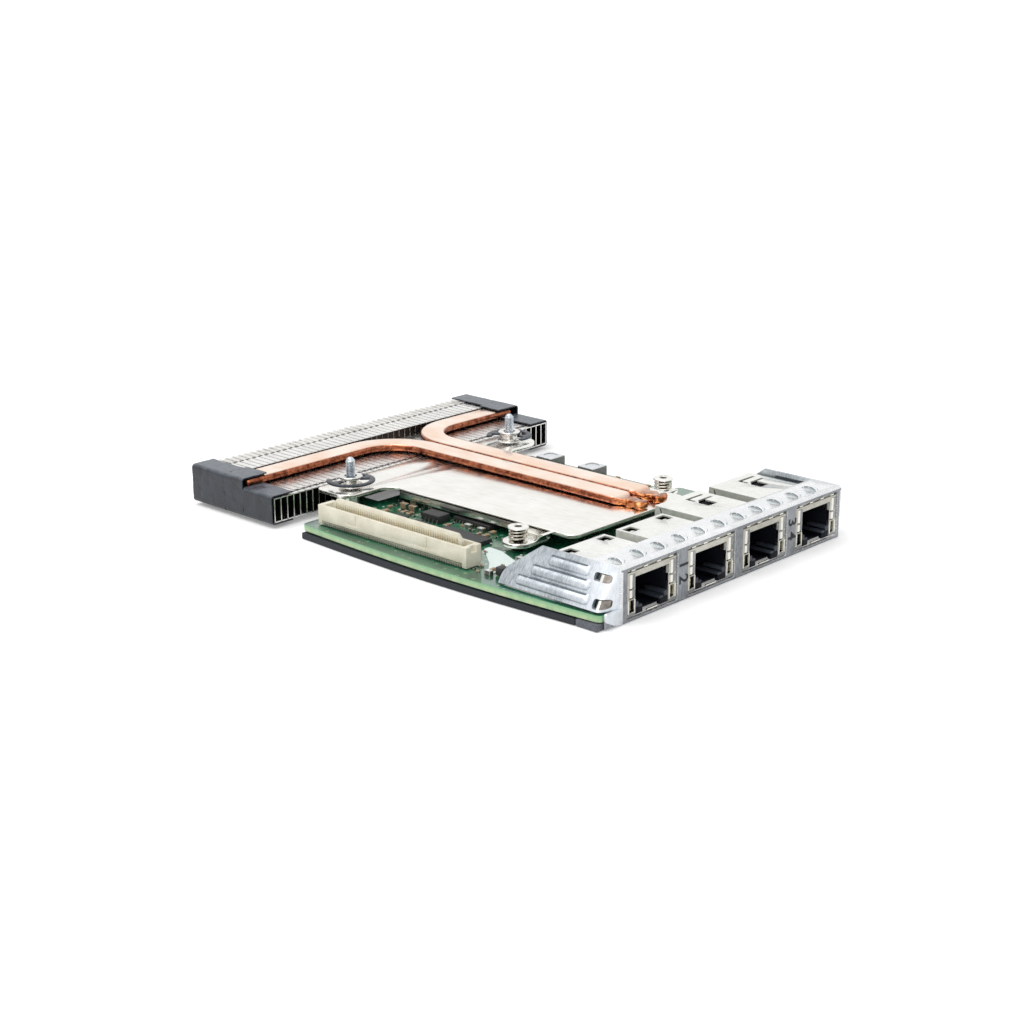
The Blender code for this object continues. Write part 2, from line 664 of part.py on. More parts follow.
def make_jack(label, port_x, depth, is_long):
    """One socket: outer shield, black housing, contact comb and light pipe."""
    place = (port_x, jack_front, jack_floor)
    half = jack_width / 2
    body = depth - jack_front
    sheet = shield_sheet
    floor = plug_floor - jack_floor
    shield = add_piece("jack_shield_" + label, box(-half, half, 0, body, 0, jack_height),
                       "shield_steel", place)
    cut(shield, box(-half + sheet, half - sheet, sheet, body - sheet, sheet, jack_height - sheet))
    cut(shield, box(-plug_width / 2, plug_width / 2, -mm, 2 * sheet, floor, floor + plug_height))
    cut(shield, box(-latch_width / 2, latch_width / 2, -mm, 2 * sheet, sheet, floor + sheet))
    cut(shield, box(-latch_step_width / 2, latch_step_width / 2, -mm, 2 * sheet,
                    floor - latch_step_drop, floor + sheet))
    lamp_in = plug_width / 2 + lamp_wall / 2
    lamp_out = half - sheet - seat
    for side in (-1, 1):
        x0, x1 = sorted((side * lamp_in, side * lamp_out))
        cut(shield, box(x0, x1, -mm, 2 * sheet, lamp_lift, lamp_lift + lamp_window_height))
    if is_long:
        for row in (0, 1):
            x = -tab_slot_pitch / 2 + row * tab_slot_pitch
            cut(shield, box(x, x + tab_slot_width, tab_slot_y - tab_slot_width, tab_slot_y + tab_slot_length / 2,
                            jack_height - 2 * sheet, jack_height + mm))
            cut(shield, box(x - tab_slot_width, x + 2 * tab_slot_width, tab_slot_y, tab_slot_y + 2 * tab_slot_width,
                            jack_height - 2 * sheet, jack_height + mm))
    else:
        for side in (-1, 1):
            x = side * top_window_offset
            cut(shield, box(x - top_window / 2, x + top_window / 2, top_window_y - top_window / 2,
                            top_window_y + top_window / 2 - jack_front, jack_height - 2 * sheet, jack_height + mm))
    merge_flat(shield)

    inner = half - sheet - seat
    lowest = sheet + seat
    housing = add_piece("jack_housing_" + label,
                        box(-inner, inner, sheet + seat, body - housing_back_gap, lowest,
                            jack_height - sheet - seat), "housing_black", place)
    cut(housing, box(-plug_width / 2, plug_width / 2, -mm, plug_depth, floor, floor + plug_height))
    cut(housing, box(-latch_step_width / 2, latch_step_width / 2, -mm, latch_depth,
                     floor - latch_step_drop, floor + sheet))
    cut(housing, box(-latch_width / 2, latch_width / 2, -mm, latch_depth, 0, floor + sheet))
    channel_top = lamp_lift + lamp_window_height + seat
    for side in (-1, 1):
        x0, x1 = sorted((side * (plug_width / 2 + lamp_wall), side * (half + mm)))
        cut(housing, box(x0, x1, -mm, body, 0, channel_top))
    merge_flat(housing)

    leg_in = plug_width / 2 + lamp_wall + seat
    back = body - sheet - seat
    pipe = add_piece("light_pipe_" + label,
                     box(-lamp_out, lamp_out, back - lamp_back_bar, back, lamp_lift + seat,
                         lamp_lift + lamp_window_height - seat / 2), "lamp_clear", place)
    for side in (-1, 1):
        x0, x1 = sorted((side * leg_in, side * lamp_out))
        weld(pipe, box(x0, x1, sheet + seat, back - lamp_back_bar / 2, lamp_lift + seat,
                       lamp_lift + lamp_window_height - seat / 2))
    merge_flat(pipe)

    bar_back = plug_depth - seat
    bar_front = bar_back - contact_bar_depth
    comb_half = plug_width / 2 - seat
    comb = add_piece("jack_contacts_" + label,
                     box(-comb_half, comb_half, bar_front, bar_back, floor + seat,
                         floor + plug_height - seat), "contact_gold", place)
    root = floor + contact_root_height
    wires = bmesh.new()
    for k in range(contact_count):
        x = (k - (contact_count - 1) / 2) * contact_pitch - contact_wire / 2
        tip_y = bar_front - contact_reach
        side_view = [(bar_front + contact_bar_depth / 2, root - contact_rise / 6), (tip_y, root + contact_rise),
                     (tip_y, root + contact_rise - contact_wire),
                     (bar_front + contact_bar_depth / 2, root - contact_rise / 6 - contact_wire)]
        add_prism(wires, side_view, x, x + contact_wire, "YZ")
    weld(comb, wires)
    merge_flat(comb)


def make_connector():
    """Shrouded board connector with a raised tongue and two rows of fine leads."""
    foot = board_top + seat
    rim = foot + connector_height
    right = connector_left + connector_width
    rear = connector_front + connector_length
    body = add_piece("board_connector", box(connector_left, right, connector_front, rear, foot, rim),
                     "connector_ivory")
    cut(body, box(connector_left + connector_wall, right - connector_wall,
                  connector_front + connector_end_wall, rear - connector_end_wall,
                  foot + connector_floor, rim + mm))
    recess = lead_thickness + seat
    y0 = connector_front + lead_end_margin - lead_width - seat
    y1 = rear - lead_end_margin + lead_width + seat
    for x0, x1 in ((connector_left - mm, connector_left + recess), (right - recess, right + mm)):
        cut(body, box(x0, x1, y0, y1, foot - mm, foot + lead_height + seat))
    middle = (connector_left + right) / 2
    front_end = connector_front + connector_end_wall + tongue_end_gap
    rear_end = rear - connector_end_wall - tongue_end_gap
    side_view = [(front_end, foot + connector_floor / 2), (rear_end, foot + connector_floor / 2),
                 (rear_end, rim), (rear_end - tongue_rise / 2, rim + tongue_rise),
                 (front_end + tongue_rise / 2, rim + tongue_rise), (front_end, rim)]
    weld(body, prism(side_view, middle - tongue_width / 2, middle + tongue_width / 2, "YZ"))
    merge_flat(body)

    comb = []
    low, high = foot, foot + lead_height
    first = connector_front + lead_end_margin - lead_width / 2
    for k in range(lead_count):
        y = first + k * lead_pitch
        comb += [(y, low), (y + lead_width, low)]
        if k < lead_count - 1:
            comb += [(y + lead_width, high - lead_bar), (y + lead_pitch, high - lead_bar)]
    comb += [(first + (lead_count - 1) * lead_pitch + lead_width, high), (first, high)]
    for side, x0 in (("left", connector_left), ("right", right - lead_thickness)):
        add_piece("connector_leads_" + side, prism(comb, x0, x0 + lead_thickness, "YZ"), "lead_tin")


def make_plate():
    """Pressed cooler plate: flat top, turned down sides, rear ears and lower screw ears."""
    left = cooler_middle_x - plate_half_width
    right = cooler_middle_x + plate_half_width
    ear_left = cooler_middle_x - rear_ear_half_width
    ear_right = cooler_middle_x + rear_ear_half_width
    rear = fin_front - seat
    under = plate_top - plate_sheet
    outline = rounded([
        (left, plate_front, plate_corner), (right, plate_front, plate_corner),
        (right, rear_ear_front, rear_ear_corner), (ear_right, rear_ear_front, rear_ear_corner),
        (ear_right, rear, rear_ear_corner / 2), (ear_left, rear, rear_ear_corner / 2),
        (ear_left, rear_ear_front, rear_ear_corner), (left, rear_ear_front, rear_ear_corner),
    ])
    plate = add_piece("cooler_plate", prism(outline, under, plate_top), "plate_nickel")
    low = plate_top - plate_wall_height
    for x0, x1 in ((left, left + plate_sheet), (right - plate_sheet, right)):
        weld(plate, box(x0, x1, plate_wall_front, rear_ear_front - rear_ear_corner, low,
                        plate_top - plate_sheet / 2))
    ear_low = screw_ear_top - screw_ear_sheet
    for side, x in cooler_pair(spring_screw_offset):
        inward = 1 if side == "left" else -1
        wall = left + plate_sheet if side == "left" else right - plate_sheet
        weld(plate, prism(circle(x, spring_screw_y, screw_ear_radius), ear_low, screw_ear_top))
        x0, x1 = sorted((x, wall))
        weld(plate, box(x0, x1, plate_wall_front, spring_screw_y + screw_ear_radius * 0.8,
                        ear_low, screw_ear_top - join_step / 5))
        ramp = [(plate_wall_front + screw_ear_sheet, ear_low + join_step),
                (plate_wall_front + screw_ear_sheet, screw_ear_top - join_step),
                (plate_wall_front - plate_sheet, plate_top - join_step),
                (plate_wall_front - 2 * plate_sheet, plate_top - join_step),
                (plate_wall_front - plate_sheet, under + join_step)]
        flap = sorted((wall, wall - inward * (screw_ear_radius + plate_sheet)))
        weld(plate, prism(ramp, flap[0], flap[1], "YZ"))
    cut(plate, screw_holes(bmesh.new(), ear_low - mm, plate_top + mm,
                           spring_shank_radius + shank_clearance, sleeve_neck_radius + seat))
    merge_flat(plate)


def pipe_section():
    """Half round edges on a flat tube, as (sideways, upwards) points."""
    r = pipe_thickness / 2
    flat = pipe_width / 2 - r
    points = []
    for side in (1, -1):
        for k in range(5):
            angle = side * (math.pi / 2 - math.pi * k / 4)
            points.append((side * (flat + r * math.cos(angle)), r * math.sin(angle)))
    return points


def make_pipe(label, turn):
    """A flat heat pipe: crimped front tip, straight run, one bend and a run over the fins."""
    section = pipe_section()
    up = Vector((0, 0, 1))
    z = pipe_floor + pipe_thickness / 2
    x = pipe_pair_x + turn * (pipe_width + pipe_gap) / 2
    crimp = pipe_crimp_width / pipe_width
    stations = []
    for t, wide, tall in ((0, 0.25 * crimp, 0.6), (0.05, 0.8 * crimp, 0.85), (0.2, crimp, 0.95),
                          (0.55, crimp, 0.85), (0.8, 0.85, 1), (1, 1, 1)):
        y = pipe_front + t * pipe_crimp_length
        stations.append((Vector((x, y, z)), Vector((1, 0, 0)), up, wide, tall))
    centre = Vector((x + turn * pipe_bend_radius, pipe_line_y - pipe_bend_radius, z))
    bend_steps = 10
    for k in range(bend_steps + 1):
        angle = math.pi / 2 * k / bend_steps
        outward = Vector((-turn * math.cos(angle), math.sin(angle), 0))
        side = outward * -turn
        stations.append((centre + outward * pipe_bend_radius, side, up, 1, 1))
    end_x = fin_left + pipe_end_inset if turn < 0 else fin_right - pipe_end_inset
    for back, wide in ((pipe_end_taper, 1), (pipe_end_taper / 3, 0.85), (0, 0.55)):
        stations.append((Vector((end_x - turn * back, pipe_line_y, z)), Vector((0, -turn, 0)), up, wide, 1))
    add_piece("heat_pipe_" + label, swept(stations, section), "pipe_copper", round_deg=50)


def make_fins():
    """Folded fins with closed channels, stepped down in front to carry the pipes."""
    step_y = fin_front + fin_step_depth
    profile = [(fin_front, fin_floor), (fin_rear, fin_floor), (fin_rear, fin_top), (step_y, fin_top),
               (step_y, plate_top), (fin_front, plate_top)]
    stack = add_piece("fin_stack", prism(profile, fin_left, fin_right, "YZ"), "fin_silver")
    low = fin_floor + fin_fold
    low_roof = plate_top - fin_fold
    high_roof = fin_top - fin_fold
    roof_end = step_y + fin_roof_depth
    channel = [(fin_front - mm, low), (fin_rear + mm, low), (fin_rear + mm, fin_top + mm),
               (roof_end, fin_top + mm), (roof_end, high_roof), (step_y - seat, high_roof),
               (step_y - seat, plate_top + seat / 2), (step_y + fin_fold, plate_top + seat / 2),
               (step_y + fin_fold, low_roof), (fin_front - mm, low_roof)]
    pitch = (fin_length - fin_sheet) / (fin_count - 1)
    cells = bmesh.new()
    for k in range(fin_count - 1):
        x = fin_left + fin_sheet + k * pitch
        add_prism(cells, channel, x, x + pitch - fin_sheet, "YZ")
    cut(stack, cells)
    merge_flat(stack)


def make_tape(label, outward):
    """Dark tape folded over one end of the fins: side, bottom flap and two top flaps."""
    end = fin_right if outward > 0 else fin_left
    outer = end + outward * tape_reach
    step_y = fin_front + fin_step_depth
    split = pipe_line_y - pipe_width / 2
    low_top = plate_top + seat
    high_top = max(fin_top, pipe_floor + pipe_thickness) + seat
    floor = fin_floor - tape_reach
    y0, y1 = fin_front + seat, fin_rear - seat
    side_view = [(y0, floor), (y1, floor), (y1, high_top + tape_thickness), (split, high_top + tape_thickness),
                 (split, low_top + tape_thickness), (y0, low_top + tape_thickness)]
    x0, x1 = sorted((outer, outer - outward * tape_thickness))
    tape = add_piece("end_tape_" + label, prism(side_view, x0, x1, "YZ"), "tape_black")

    def flap(length, ya, yb, z):
        xa, xb = sorted((outer - outward * tape_thickness / 2, outer - outward * length))
        weld(tape, box(xa, xb, ya, yb, z, z + tape_thickness))
    flap(tape_width, y0, y1, floor)
    flap(tape_width, y0, split - seat, low_top)
    flap(tape_width + tape_upper_extra, split, step_y, high_top)
    flap(tape_width, step_y - seat, y1, high_top)
    merge_flat(tape)


def make_spring_screw(label, x):
    place = (x, spring_screw_y, 0)
    top = spring_head_top
    under = top - spring_head_height
    catch = board_floor - seat
    chamfer = spring_head_chamfer
    profile = [(spring_shank_radius * 0.6, catch - spring_collar_height),
               (spring_collar_radius, catch - spring_collar_height * 0.4), (spring_collar_radius, catch),
               (spring_shank_radius, catch), (spring_shank_radius, under), (spring_head_radius, under),
               (spring_head_radius, top - chamfer), (spring_head_radius - chamfer, top)]
    screw = add_piece("spring_screw_" + label, turned(profile), "screw_zinc", place)
    slot = spring_head_radius * 0.45
    for long, short in ((slot, slot / 4), (slot / 4, slot)):
        cut(screw, box(-long, long, -short, short, top - spring_head_height * 0.5, top + mm))
    merge_flat(screw)

    low = screw_ear_top + seat + coil_wire_radius
    high = under - seat - coil_wire_radius
    section = [(coil_wire_radius * math.cos(math.tau * k / 6), coil_wire_radius * math.sin(math.tau * k / 6))
               for k in range(6)]
    stations = []
    total = coil_turns * coil_steps
    for k in range(total + 1):
        angle = math.tau * k / coil_steps
        outward = Vector((math.cos(angle), math.sin(angle), 0))
        centre = outward * coil_radius + Vector((0, 0, low + (high - low) * k / total))
        stations.append((centre, outward, Vector((0, 0, 1)), 1, 1))
    add_piece("coil_spring_" + label, swept(stations, section), "spring_steel", place, round_deg=70)


def clip_outline(turn_deg):
    """A C shaped retaining clip with two inner teeth that reach in to the neck."""
    inner = clip_outer_radius - clip_ring_width
    neck = sleeve_neck_radius + seat
    start = math.radians(turn_deg + clip_opening_deg / 2)
    sweep = math.radians(360 - clip_opening_deg)
    steps = 18
    outer_arc = [(clip_outer_radius, start + sweep * k / steps) for k in range(steps + 1)]
    inner_arc = []
    tooth = clip_tooth_width / 2 / inner
    for k in range(steps, -1, -1):
        inner_arc.append((inner, start + sweep * k / steps))
    points = [(r * math.cos(a), r * math.sin(a)) for r, a in outer_arc]
    teeth = [start + sweep * share for share in (0.82, 0.18)]
    for r, a in inner_arc:
        points.append((r * math.cos(a), r * math.sin(a)))
        for at in teeth:
            nearest = start + sweep * round((at - start) / sweep * steps) / steps
            if abs(a - nearest) < 0.001:
                spread = math.asin(min(clip_tooth_width / 2 / neck, 0.9))
                for radius, angle in ((inner, a - tooth), (neck, a - tooth * 0.5 - spread * 0.2),
                                      (neck, a - spread - tooth), (inner, a - spread - 2 * tooth)):
                    points.append((radius * math.cos(angle), radius * math.sin(angle)))
    return points


def make_captive_set(label, x, turn_deg):
    place = (x, captive_y, 0)
    bore = thread_radius + captive_bore_clearance
    screw_profile = [(captive_head_radius, captive_head_floor),
                     (captive_head_radius, captive_head_floor + captive_head_height),
                     (thread_radius, captive_head_floor + captive_head_height),
                     (thread_radius, thread_tip - thread_radius * 0.5), (thread_radius * 0.55, thread_tip)]
    screw = add_piece("captive_screw_" + label, turned(screw_profile), "screw_zinc", place)
    reach = captive_head_radius * 0.5
    for long, short in ((reach, reach / 4), (reach / 4, reach)):
        cut(screw, box(-long, long, -short, short, -mm, captive_head_floor + captive_head_height * 0.6))
    merge_flat(screw)

    foot = board_top + seat
    post_top = plate_top - plate_sheet - seat
    post = turned([(bore, foot), (post_radius, foot), (post_radius, post_top), (bore, post_top)], closed=True)
    add_piece("standoff_post_" + label, post, "sleeve_nickel", place, round_deg=40)

    base = plate_top + seat
    neck_top = sleeve_top - sleeve_flange_height
    sleeve = turned([(bore, base), (sleeve_foot_radius, base), (sleeve_foot_radius, base + sleeve_foot_height),
                     (sleeve_neck_radius, base + sleeve_foot_height), (sleeve_neck_radius, neck_top - sleeve_flange_taper),
                     (sleeve_flange_radius, neck_top), (sleeve_flange_radius, sleeve_top), (bore, sleeve_top)],
                    closed=True)
    add_piece("captive_sleeve_" + label, sleeve, "sleeve_nickel", place, round_deg=40)

    clip_top = neck_top - clip_drop
    add_piece("retaining_clip_" + label, prism(clip_outline(turn_deg), clip_top - clip_thickness, clip_top),
              "clip_black", place)


def make_block(name, place, finish_name):
    """One soldered part on the board with small rounded corners."""
    x, y, wide, deep, tall = place
    outline = rounded([(-wide / 2, -deep / 2, chip_corner), (wide / 2, -deep / 2, chip_corner),
                       (wide / 2, deep / 2, chip_corner), (-wide / 2, deep / 2, chip_corner)], 2)
    add_piece(name, prism(outline, 0, tall), finish_name, (x, y, board_top + seat))


def make_pad(name, chip):
    """Soft pad that fills the gap between a chip and the cooler plate."""
    x, y, wide, deep, tall = chip
    bottom = board_top + seat + tall + seat
    top = plate_top - plate_sheet - seat
    add_piece(name, box(-wide / 2, wide / 2, -deep / 2, deep / 2, 0, top - bottom), "pad_grey", (x, y, bottom))


make_board()
make_insulator()
make_bracket()
for port in ports:
    make_jack(*port)
make_connector()
make_plate()
make_pipe("left", -1)
make_pipe("right", 1)
make_fins()
make_tape("left", -1)
make_tape("right", 1)
for side, screw_x in cooler_pair(spring_screw_offset):
    make_spring_screw(side, screw_x)
for (side, screw_x), turn in zip(cooler_pair(captive_offset), (left_clip_turn_deg, right_clip_turn_deg)):
    make_captive_set(side, screw_x, turn)
make_block("network_controller", controller_place, "chip_black")
make_pad("controller_pad", controller_place)
make_block("line_driver_chip", line_chip_place, "chip_black")
make_pad("line_driver_pad", line_chip_place)
make_block("line_transformer", transformer_place, "chip_black")
make_block("regulator_chip", regulator_place, "chip_black")
make_block("choke_rear", choke_rear_place, "choke_grey")
make_block("choke_front", choke_front_place, "choke_grey")
make_block("corner_block", corner_block_place, "chip_black")
for number, capacitor in enumerate(capacitor_places, 1):
    make_block("chip_capacitor_%d" % number, capacitor, "capacitor_tan")
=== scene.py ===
import json
import math
import random

import bpy
from mathutils import Matrix, Vector, noise


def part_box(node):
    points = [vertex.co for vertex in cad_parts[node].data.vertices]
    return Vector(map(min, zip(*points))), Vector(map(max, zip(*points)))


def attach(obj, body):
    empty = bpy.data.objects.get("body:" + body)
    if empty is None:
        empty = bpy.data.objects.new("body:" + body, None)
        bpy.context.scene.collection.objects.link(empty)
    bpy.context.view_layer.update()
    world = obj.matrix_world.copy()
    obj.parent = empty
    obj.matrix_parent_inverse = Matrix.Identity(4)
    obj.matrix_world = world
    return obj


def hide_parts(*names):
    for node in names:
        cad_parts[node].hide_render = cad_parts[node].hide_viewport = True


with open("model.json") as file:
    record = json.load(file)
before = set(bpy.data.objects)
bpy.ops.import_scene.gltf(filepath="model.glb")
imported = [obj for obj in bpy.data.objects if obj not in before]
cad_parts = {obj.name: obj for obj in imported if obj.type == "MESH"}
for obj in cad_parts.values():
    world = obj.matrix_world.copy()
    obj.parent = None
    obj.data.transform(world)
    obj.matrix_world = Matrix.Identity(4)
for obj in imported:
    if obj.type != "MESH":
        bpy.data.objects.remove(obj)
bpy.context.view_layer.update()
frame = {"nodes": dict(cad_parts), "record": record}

seededRandom = random.Random(7)

# all shapes below are in card millimetres: x along the sockets, y back into the card,
# from the bracket's lower left front corner. settle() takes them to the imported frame
finsInCard = (-0.0063, 0.1103)                   # the fins' low corner, in card metres
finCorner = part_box("fin_stack")[0]
cardOrigin = Vector((finCorner.x - finsInCard[0], finCorner.y - finsInCard[1], 0))
print("network card: packed frame loaded")

# camera, fitted to the bracket, connector and fins
cameraView = {"turn": -46.97, "height": 17.44, "roll": -0.19, "lens": 67.03,
              "place": (-0.350825, -0.32434, 0.15090)}


def addCamera(view):
    turn, height, roll = (math.radians(view[key]) for key in ("turn", "height", "roll"))
    back = Vector((math.sin(turn) * math.cos(height), -math.cos(turn) * math.cos(height), math.sin(height)))
    side = (-back).cross(Vector((0, 0, 1))).normalized()
    up = side.cross(-back)
    across = side * math.cos(roll) + up * math.sin(roll)
    upward = up * math.cos(roll) - side * math.sin(roll)
    data = bpy.data.cameras.new("photoCamera")
    data.lens = view["lens"]
    data.sensor_width = 36
    data.clip_start = 0.01
    camera = bpy.data.objects.new("photoCamera", data)
    bpy.context.scene.collection.objects.link(camera)
    camera.matrix_world = Matrix.Translation(view["place"]) @ Matrix((across, upward, back)).transposed().to_4x4()
    bpy.context.scene.camera = camera


addCamera(cameraView)
bpy.context.scene.view_settings.view_transform = "Standard"


# materials
def packedY(cardY):
    # a place along the card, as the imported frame's millimetres that shaders read
    return cardY + cardOrigin.y * 1000


def tint(red, green, blue):
    # screen colour, 0 to 255, as the linear colour a shader wants
    linear = [value / 255 / 12.92 if value <= 10 else ((value / 255 + 0.055) / 1.055) ** 2.4
              for value in (red, green, blue)]
    return (*linear, 1)


def sumNode(kind, swapped=False):
    def build(self, other):
        first, second = (other, self) if swapped else (self, other)
        return self.paint.node("ShaderNodeMath", {"operation": kind}, {0: first, 1: second})
    return build


class Wire:
    # a node's output that plain sums can be done with
    def __init__(self, paint, socket):
        self.paint, self.socket = paint, socket

    __add__ = __radd__ = sumNode("ADD")
    __mul__ = __rmul__ = sumNode("MULTIPLY")
    __sub__, __rsub__ = sumNode("SUBTRACT"), sumNode("SUBTRACT", True)
    __truediv__, __rtruediv__ = sumNode("DIVIDE"), sumNode("DIVIDE", True)
    __pow__ = sumNode("POWER")
    __lt__, __gt__ = sumNode("LESS_THAN"), sumNode("GREATER_THAN")
    __mod__ = sumNode("FLOORED_MODULO")


class Paint:
    def __init__(self, name, **fixed):
        self.material = bpy.data.materials.new(name)
        self.material.use_nodes = True
        self.tree = self.material.node_tree
        self.shader = self.tree.nodes["Principled BSDF"]
        for key, value in fixed.items():
            self.shader.inputs[key.replace("_", " ")].default_value = value

    def node(self, kind, settings=None, values=None, output=0):
        made = self.tree.nodes.new(kind)
        for key, value in (settings or {}).items():
            setattr(made, key, value)
        for key, value in (values or {}).items():
            if isinstance(value, Wire):
                self.tree.links.new(value.socket, made.inputs[key])
            else:
                made.inputs[key].default_value = value
        return Wire(self, made.outputs[output])

    def feed(self, key, wire):
        self.tree.links.new(wire.socket, self.shader.inputs[key])

    def place(self, stretch=(1, 1, 1)):
        # object coordinates in millimetres, stretched along each axis
        here = self.node("ShaderNodeTexCoord", output="Object")
        return self.node("ShaderNodeVectorMath", {"operation": "MULTIPLY"},
                         {0: here, 1: [1000 * amount for amount in stretch]})

    def split(self, wire):
        parted = self.node("ShaderNodeSeparateXYZ", {}, {0: wire})
        return [Wire(self, socket) for socket in parted.socket.node.outputs]

    def upward(self):
        # 1 where a face looks straight up, 0 on upright sides
        return self.split(self.node("ShaderNodeNewGeometry", output="Normal"))[2]

    def cloud(self, scale, detail=2.0, stretch=(1, 1, 1), rough=0.5, twist=0.0):
        return self.node("ShaderNodeTexNoise", {}, {"Vector": self.place(stretch), "Scale": scale, "Detail": detail,
                                                    "Roughness": rough, "Distortion": twist})

    def band(self, wire, low, high, outLow=0.0, outHigh=1.0):
        return self.node("ShaderNodeMapRange", {}, {0: wire, 1: low, 2: high, 3: outLow, 4: outHigh})

    def mix(self, first, second, share):
        return self.node("ShaderNodeMix", {"data_type": "RGBA"}, {0: share, 6: first, 7: second}, output=2)

    def bump(self, height, strength, distance):
        self.feed("Normal", self.node("ShaderNodeBump", {}, {"Strength": strength, "Distance": distance,
                                                             "Height": height}))


def brushedMetal(name, dark, light, rough, stretch, scale, metallic):
    # fine strokes in one direction, cloudy at a larger scale
    paint = Paint(name, Metallic=metallic)
    strokes = paint.cloud(scale, 3.0, stretch, 0.55, 0.2)
    clouds = paint.cloud(0.12, 3.0)
    paint.feed("Base Color", paint.mix(dark, light, paint.band(strokes * 0.5 + clouds * 0.5, 0.34, 0.66)))
    paint.feed("Roughness", paint.band(strokes, 0.3, 0.7, rough, rough + 0.08))
    paint.bump(strokes, 0.2, 0.000008)
    return paint.material


def mouldedPlastic(name, dark, light, rough, grain, depth=0.00001, **fixed):
    paint = Paint(name, **fixed)
    fine = paint.cloud(grain, 3.0)
    clouds = paint.cloud(0.18, 3.0)
    paint.feed("Base Color", paint.mix(dark, light, paint.band(fine * 0.4 + clouds * 0.6, 0.38, 0.62)))
    paint.feed("Roughness", paint.band(fine, 0.3, 0.7, rough, rough + 0.15))
    paint.bump(fine, 0.3, depth)
    return paint.material


maskLook = {"traces": 1.6, "traceShare": 0.42, "zones": 0.16, "vias": 0.42, "hole": 0.085, "ring": 0.2}


def boardMask():
    # green solder mask over copper: planes, traces under it and small plated holes
    paint = Paint("boardGreen", Coat_Weight=1.0, Coat_Roughness=0.1, Coat_IOR=1.65)
    here = paint.place()
    x, y, z = paint.split(here)
    zone = paint.node("ShaderNodeTexVoronoi", {"distance": "CHEBYCHEV"},
                      {"Vector": here, "Scale": maskLook["zones"]}, "Color")
    across, upright = paint.split(zone)[:2]
    alongX = (y * maskLook["traces"] % 1) < maskLook["traceShare"]
    alongY = (x * maskLook["traces"] % 1) < maskLook["traceShare"]
    traces = alongX * (across > 0.62) + alongY * (across < 0.3) * (upright > 0.35)
    cells = paint.node("ShaderNodeTexVoronoi", {}, {"Vector": here, "Scale": maskLook["vias"], "Randomness": 0.75})
    hole = cells < maskLook["hole"]
    ring = cells < maskLook["ring"]
    clouds = paint.cloud(0.15, 4.0)
    top = paint.mix(tint(10, 74, 52), tint(28, 106, 76), paint.band(clouds, 0.35, 0.65))
    top = paint.mix(top, tint(44, 132, 94), traces * 0.5)
    top = paint.mix(top, tint(132, 172, 124), ring * 0.8)
    top = paint.mix(top, tint(12, 36, 28), hole)
    speckle = paint.band(paint.cloud(0.5, 3.0, (1, 1, 0.3)), 0.35, 0.65)
    core = paint.mix(tint(158, 196, 144), tint(188, 212, 160), speckle)
    rim = paint.mix(core, tint(116, 180, 122), paint.band(z, 2.3, 3.3))
    level = paint.upward()
    flat = (level > 0.4) + (level < -0.4)
    paint.feed("Base Color", paint.mix(rim, top, flat))
    paint.feed("Roughness", paint.band(clouds, 0.3, 0.7, 0.26, 0.4))
    paint.bump(traces + ring, 0.5, 0.00003)
    return paint.material


def filmDark():
    paint = Paint("filmDark")
    grain = paint.cloud(2.5, 3.0)
    paint.feed("Base Color", paint.mix(tint(14, 17, 25), tint(30, 35, 46), paint.band(grain, 0.3, 0.7)))
    paint.feed("Roughness", paint.band(grain, 0.3, 0.7, 0.42, 0.6))
    paint.bump(grain, 0.3, 0.00002)
    return paint.material


def foamGrey():
    paint = Paint("foamGrey", Roughness=0.9)
    pores = paint.node("ShaderNodeTexVoronoi", {}, {"Vector": paint.place(), "Scale": 3.0})
    clouds = paint.cloud(0.6, 3.0)
    worn = paint.band(pores + clouds * 0.4, 0.2, 0.8)
    paint.feed("Base Color", paint.mix(tint(62, 64, 72), tint(108, 110, 118), worn))
    paint.bump(pores, 0.8, 0.0001)
    return paint.material


pinchedEnd = 41.4                                # card y where the pipes' pinched tips end


def pipeCopper():
    # pale on the flat top, a painted highlight, brown on the rounded sides, painted shade, and brown on the pinched tip
    paint = Paint("pipeCopper", Metallic=1.0)
    strokes = paint.cloud(0.9, 4.0, (1, 0.12, 1), 0.6, 0.4)
    lumps = paint.cloud(0.55, 3.0, (1, 1, 1), 0.55, 0.8)
    clouds = paint.cloud(0.11, 3.0)
    top = paint.mix(tint(250, 216, 192), tint(255, 240, 226), paint.band(clouds * 0.7 + strokes * 0.3, 0.38, 0.6))
    side = paint.mix(tint(104, 52, 36), tint(184, 112, 80), paint.band(lumps, 0.35, 0.66))
    tip = paint.mix(tint(120, 52, 24), tint(232, 152, 98), paint.band(lumps, 0.38, 0.66))
    y = paint.split(paint.place())[1]
    # painted highlight on faces that look up, painted shade on the rounded sides
    litTopShare = paint.band(paint.upward(), 0.72, 0.93)
    body = paint.mix(side, top, litTopShare)
    pinched = paint.band(y, packedY(pinchedEnd + 1), packedY(pinchedEnd - 1))
    paint.feed("Base Color", paint.mix(body, tip, pinched * paint.band(litTopShare, 0, 1, 1.0, 0.8)))
    paint.feed("Roughness", paint.band(strokes, 0.3, 0.7, 0.14, 0.3))
    paint.bump(lumps, 0.35, 0.0001)
    return paint.material


def powderCore():
    # pressed core: pale top, a painted highlight, and darker sides, painted shade
    paint = Paint("powderCore", Metallic=0.4, Roughness=0.42)
    grain = paint.cloud(3.0, 2.0)
    top = paint.mix(tint(206, 210, 215), tint(234, 236, 239), paint.band(grain, 0.35, 0.65))
    side = paint.mix(tint(92, 95, 92), tint(132, 134, 130), paint.band(grain, 0.35, 0.65))
    paint.feed("Base Color", paint.mix(side, top, paint.band(paint.upward(), 0.5, 0.85)))
    paint.bump(grain, 0.3, 0.00002)
    return paint.material


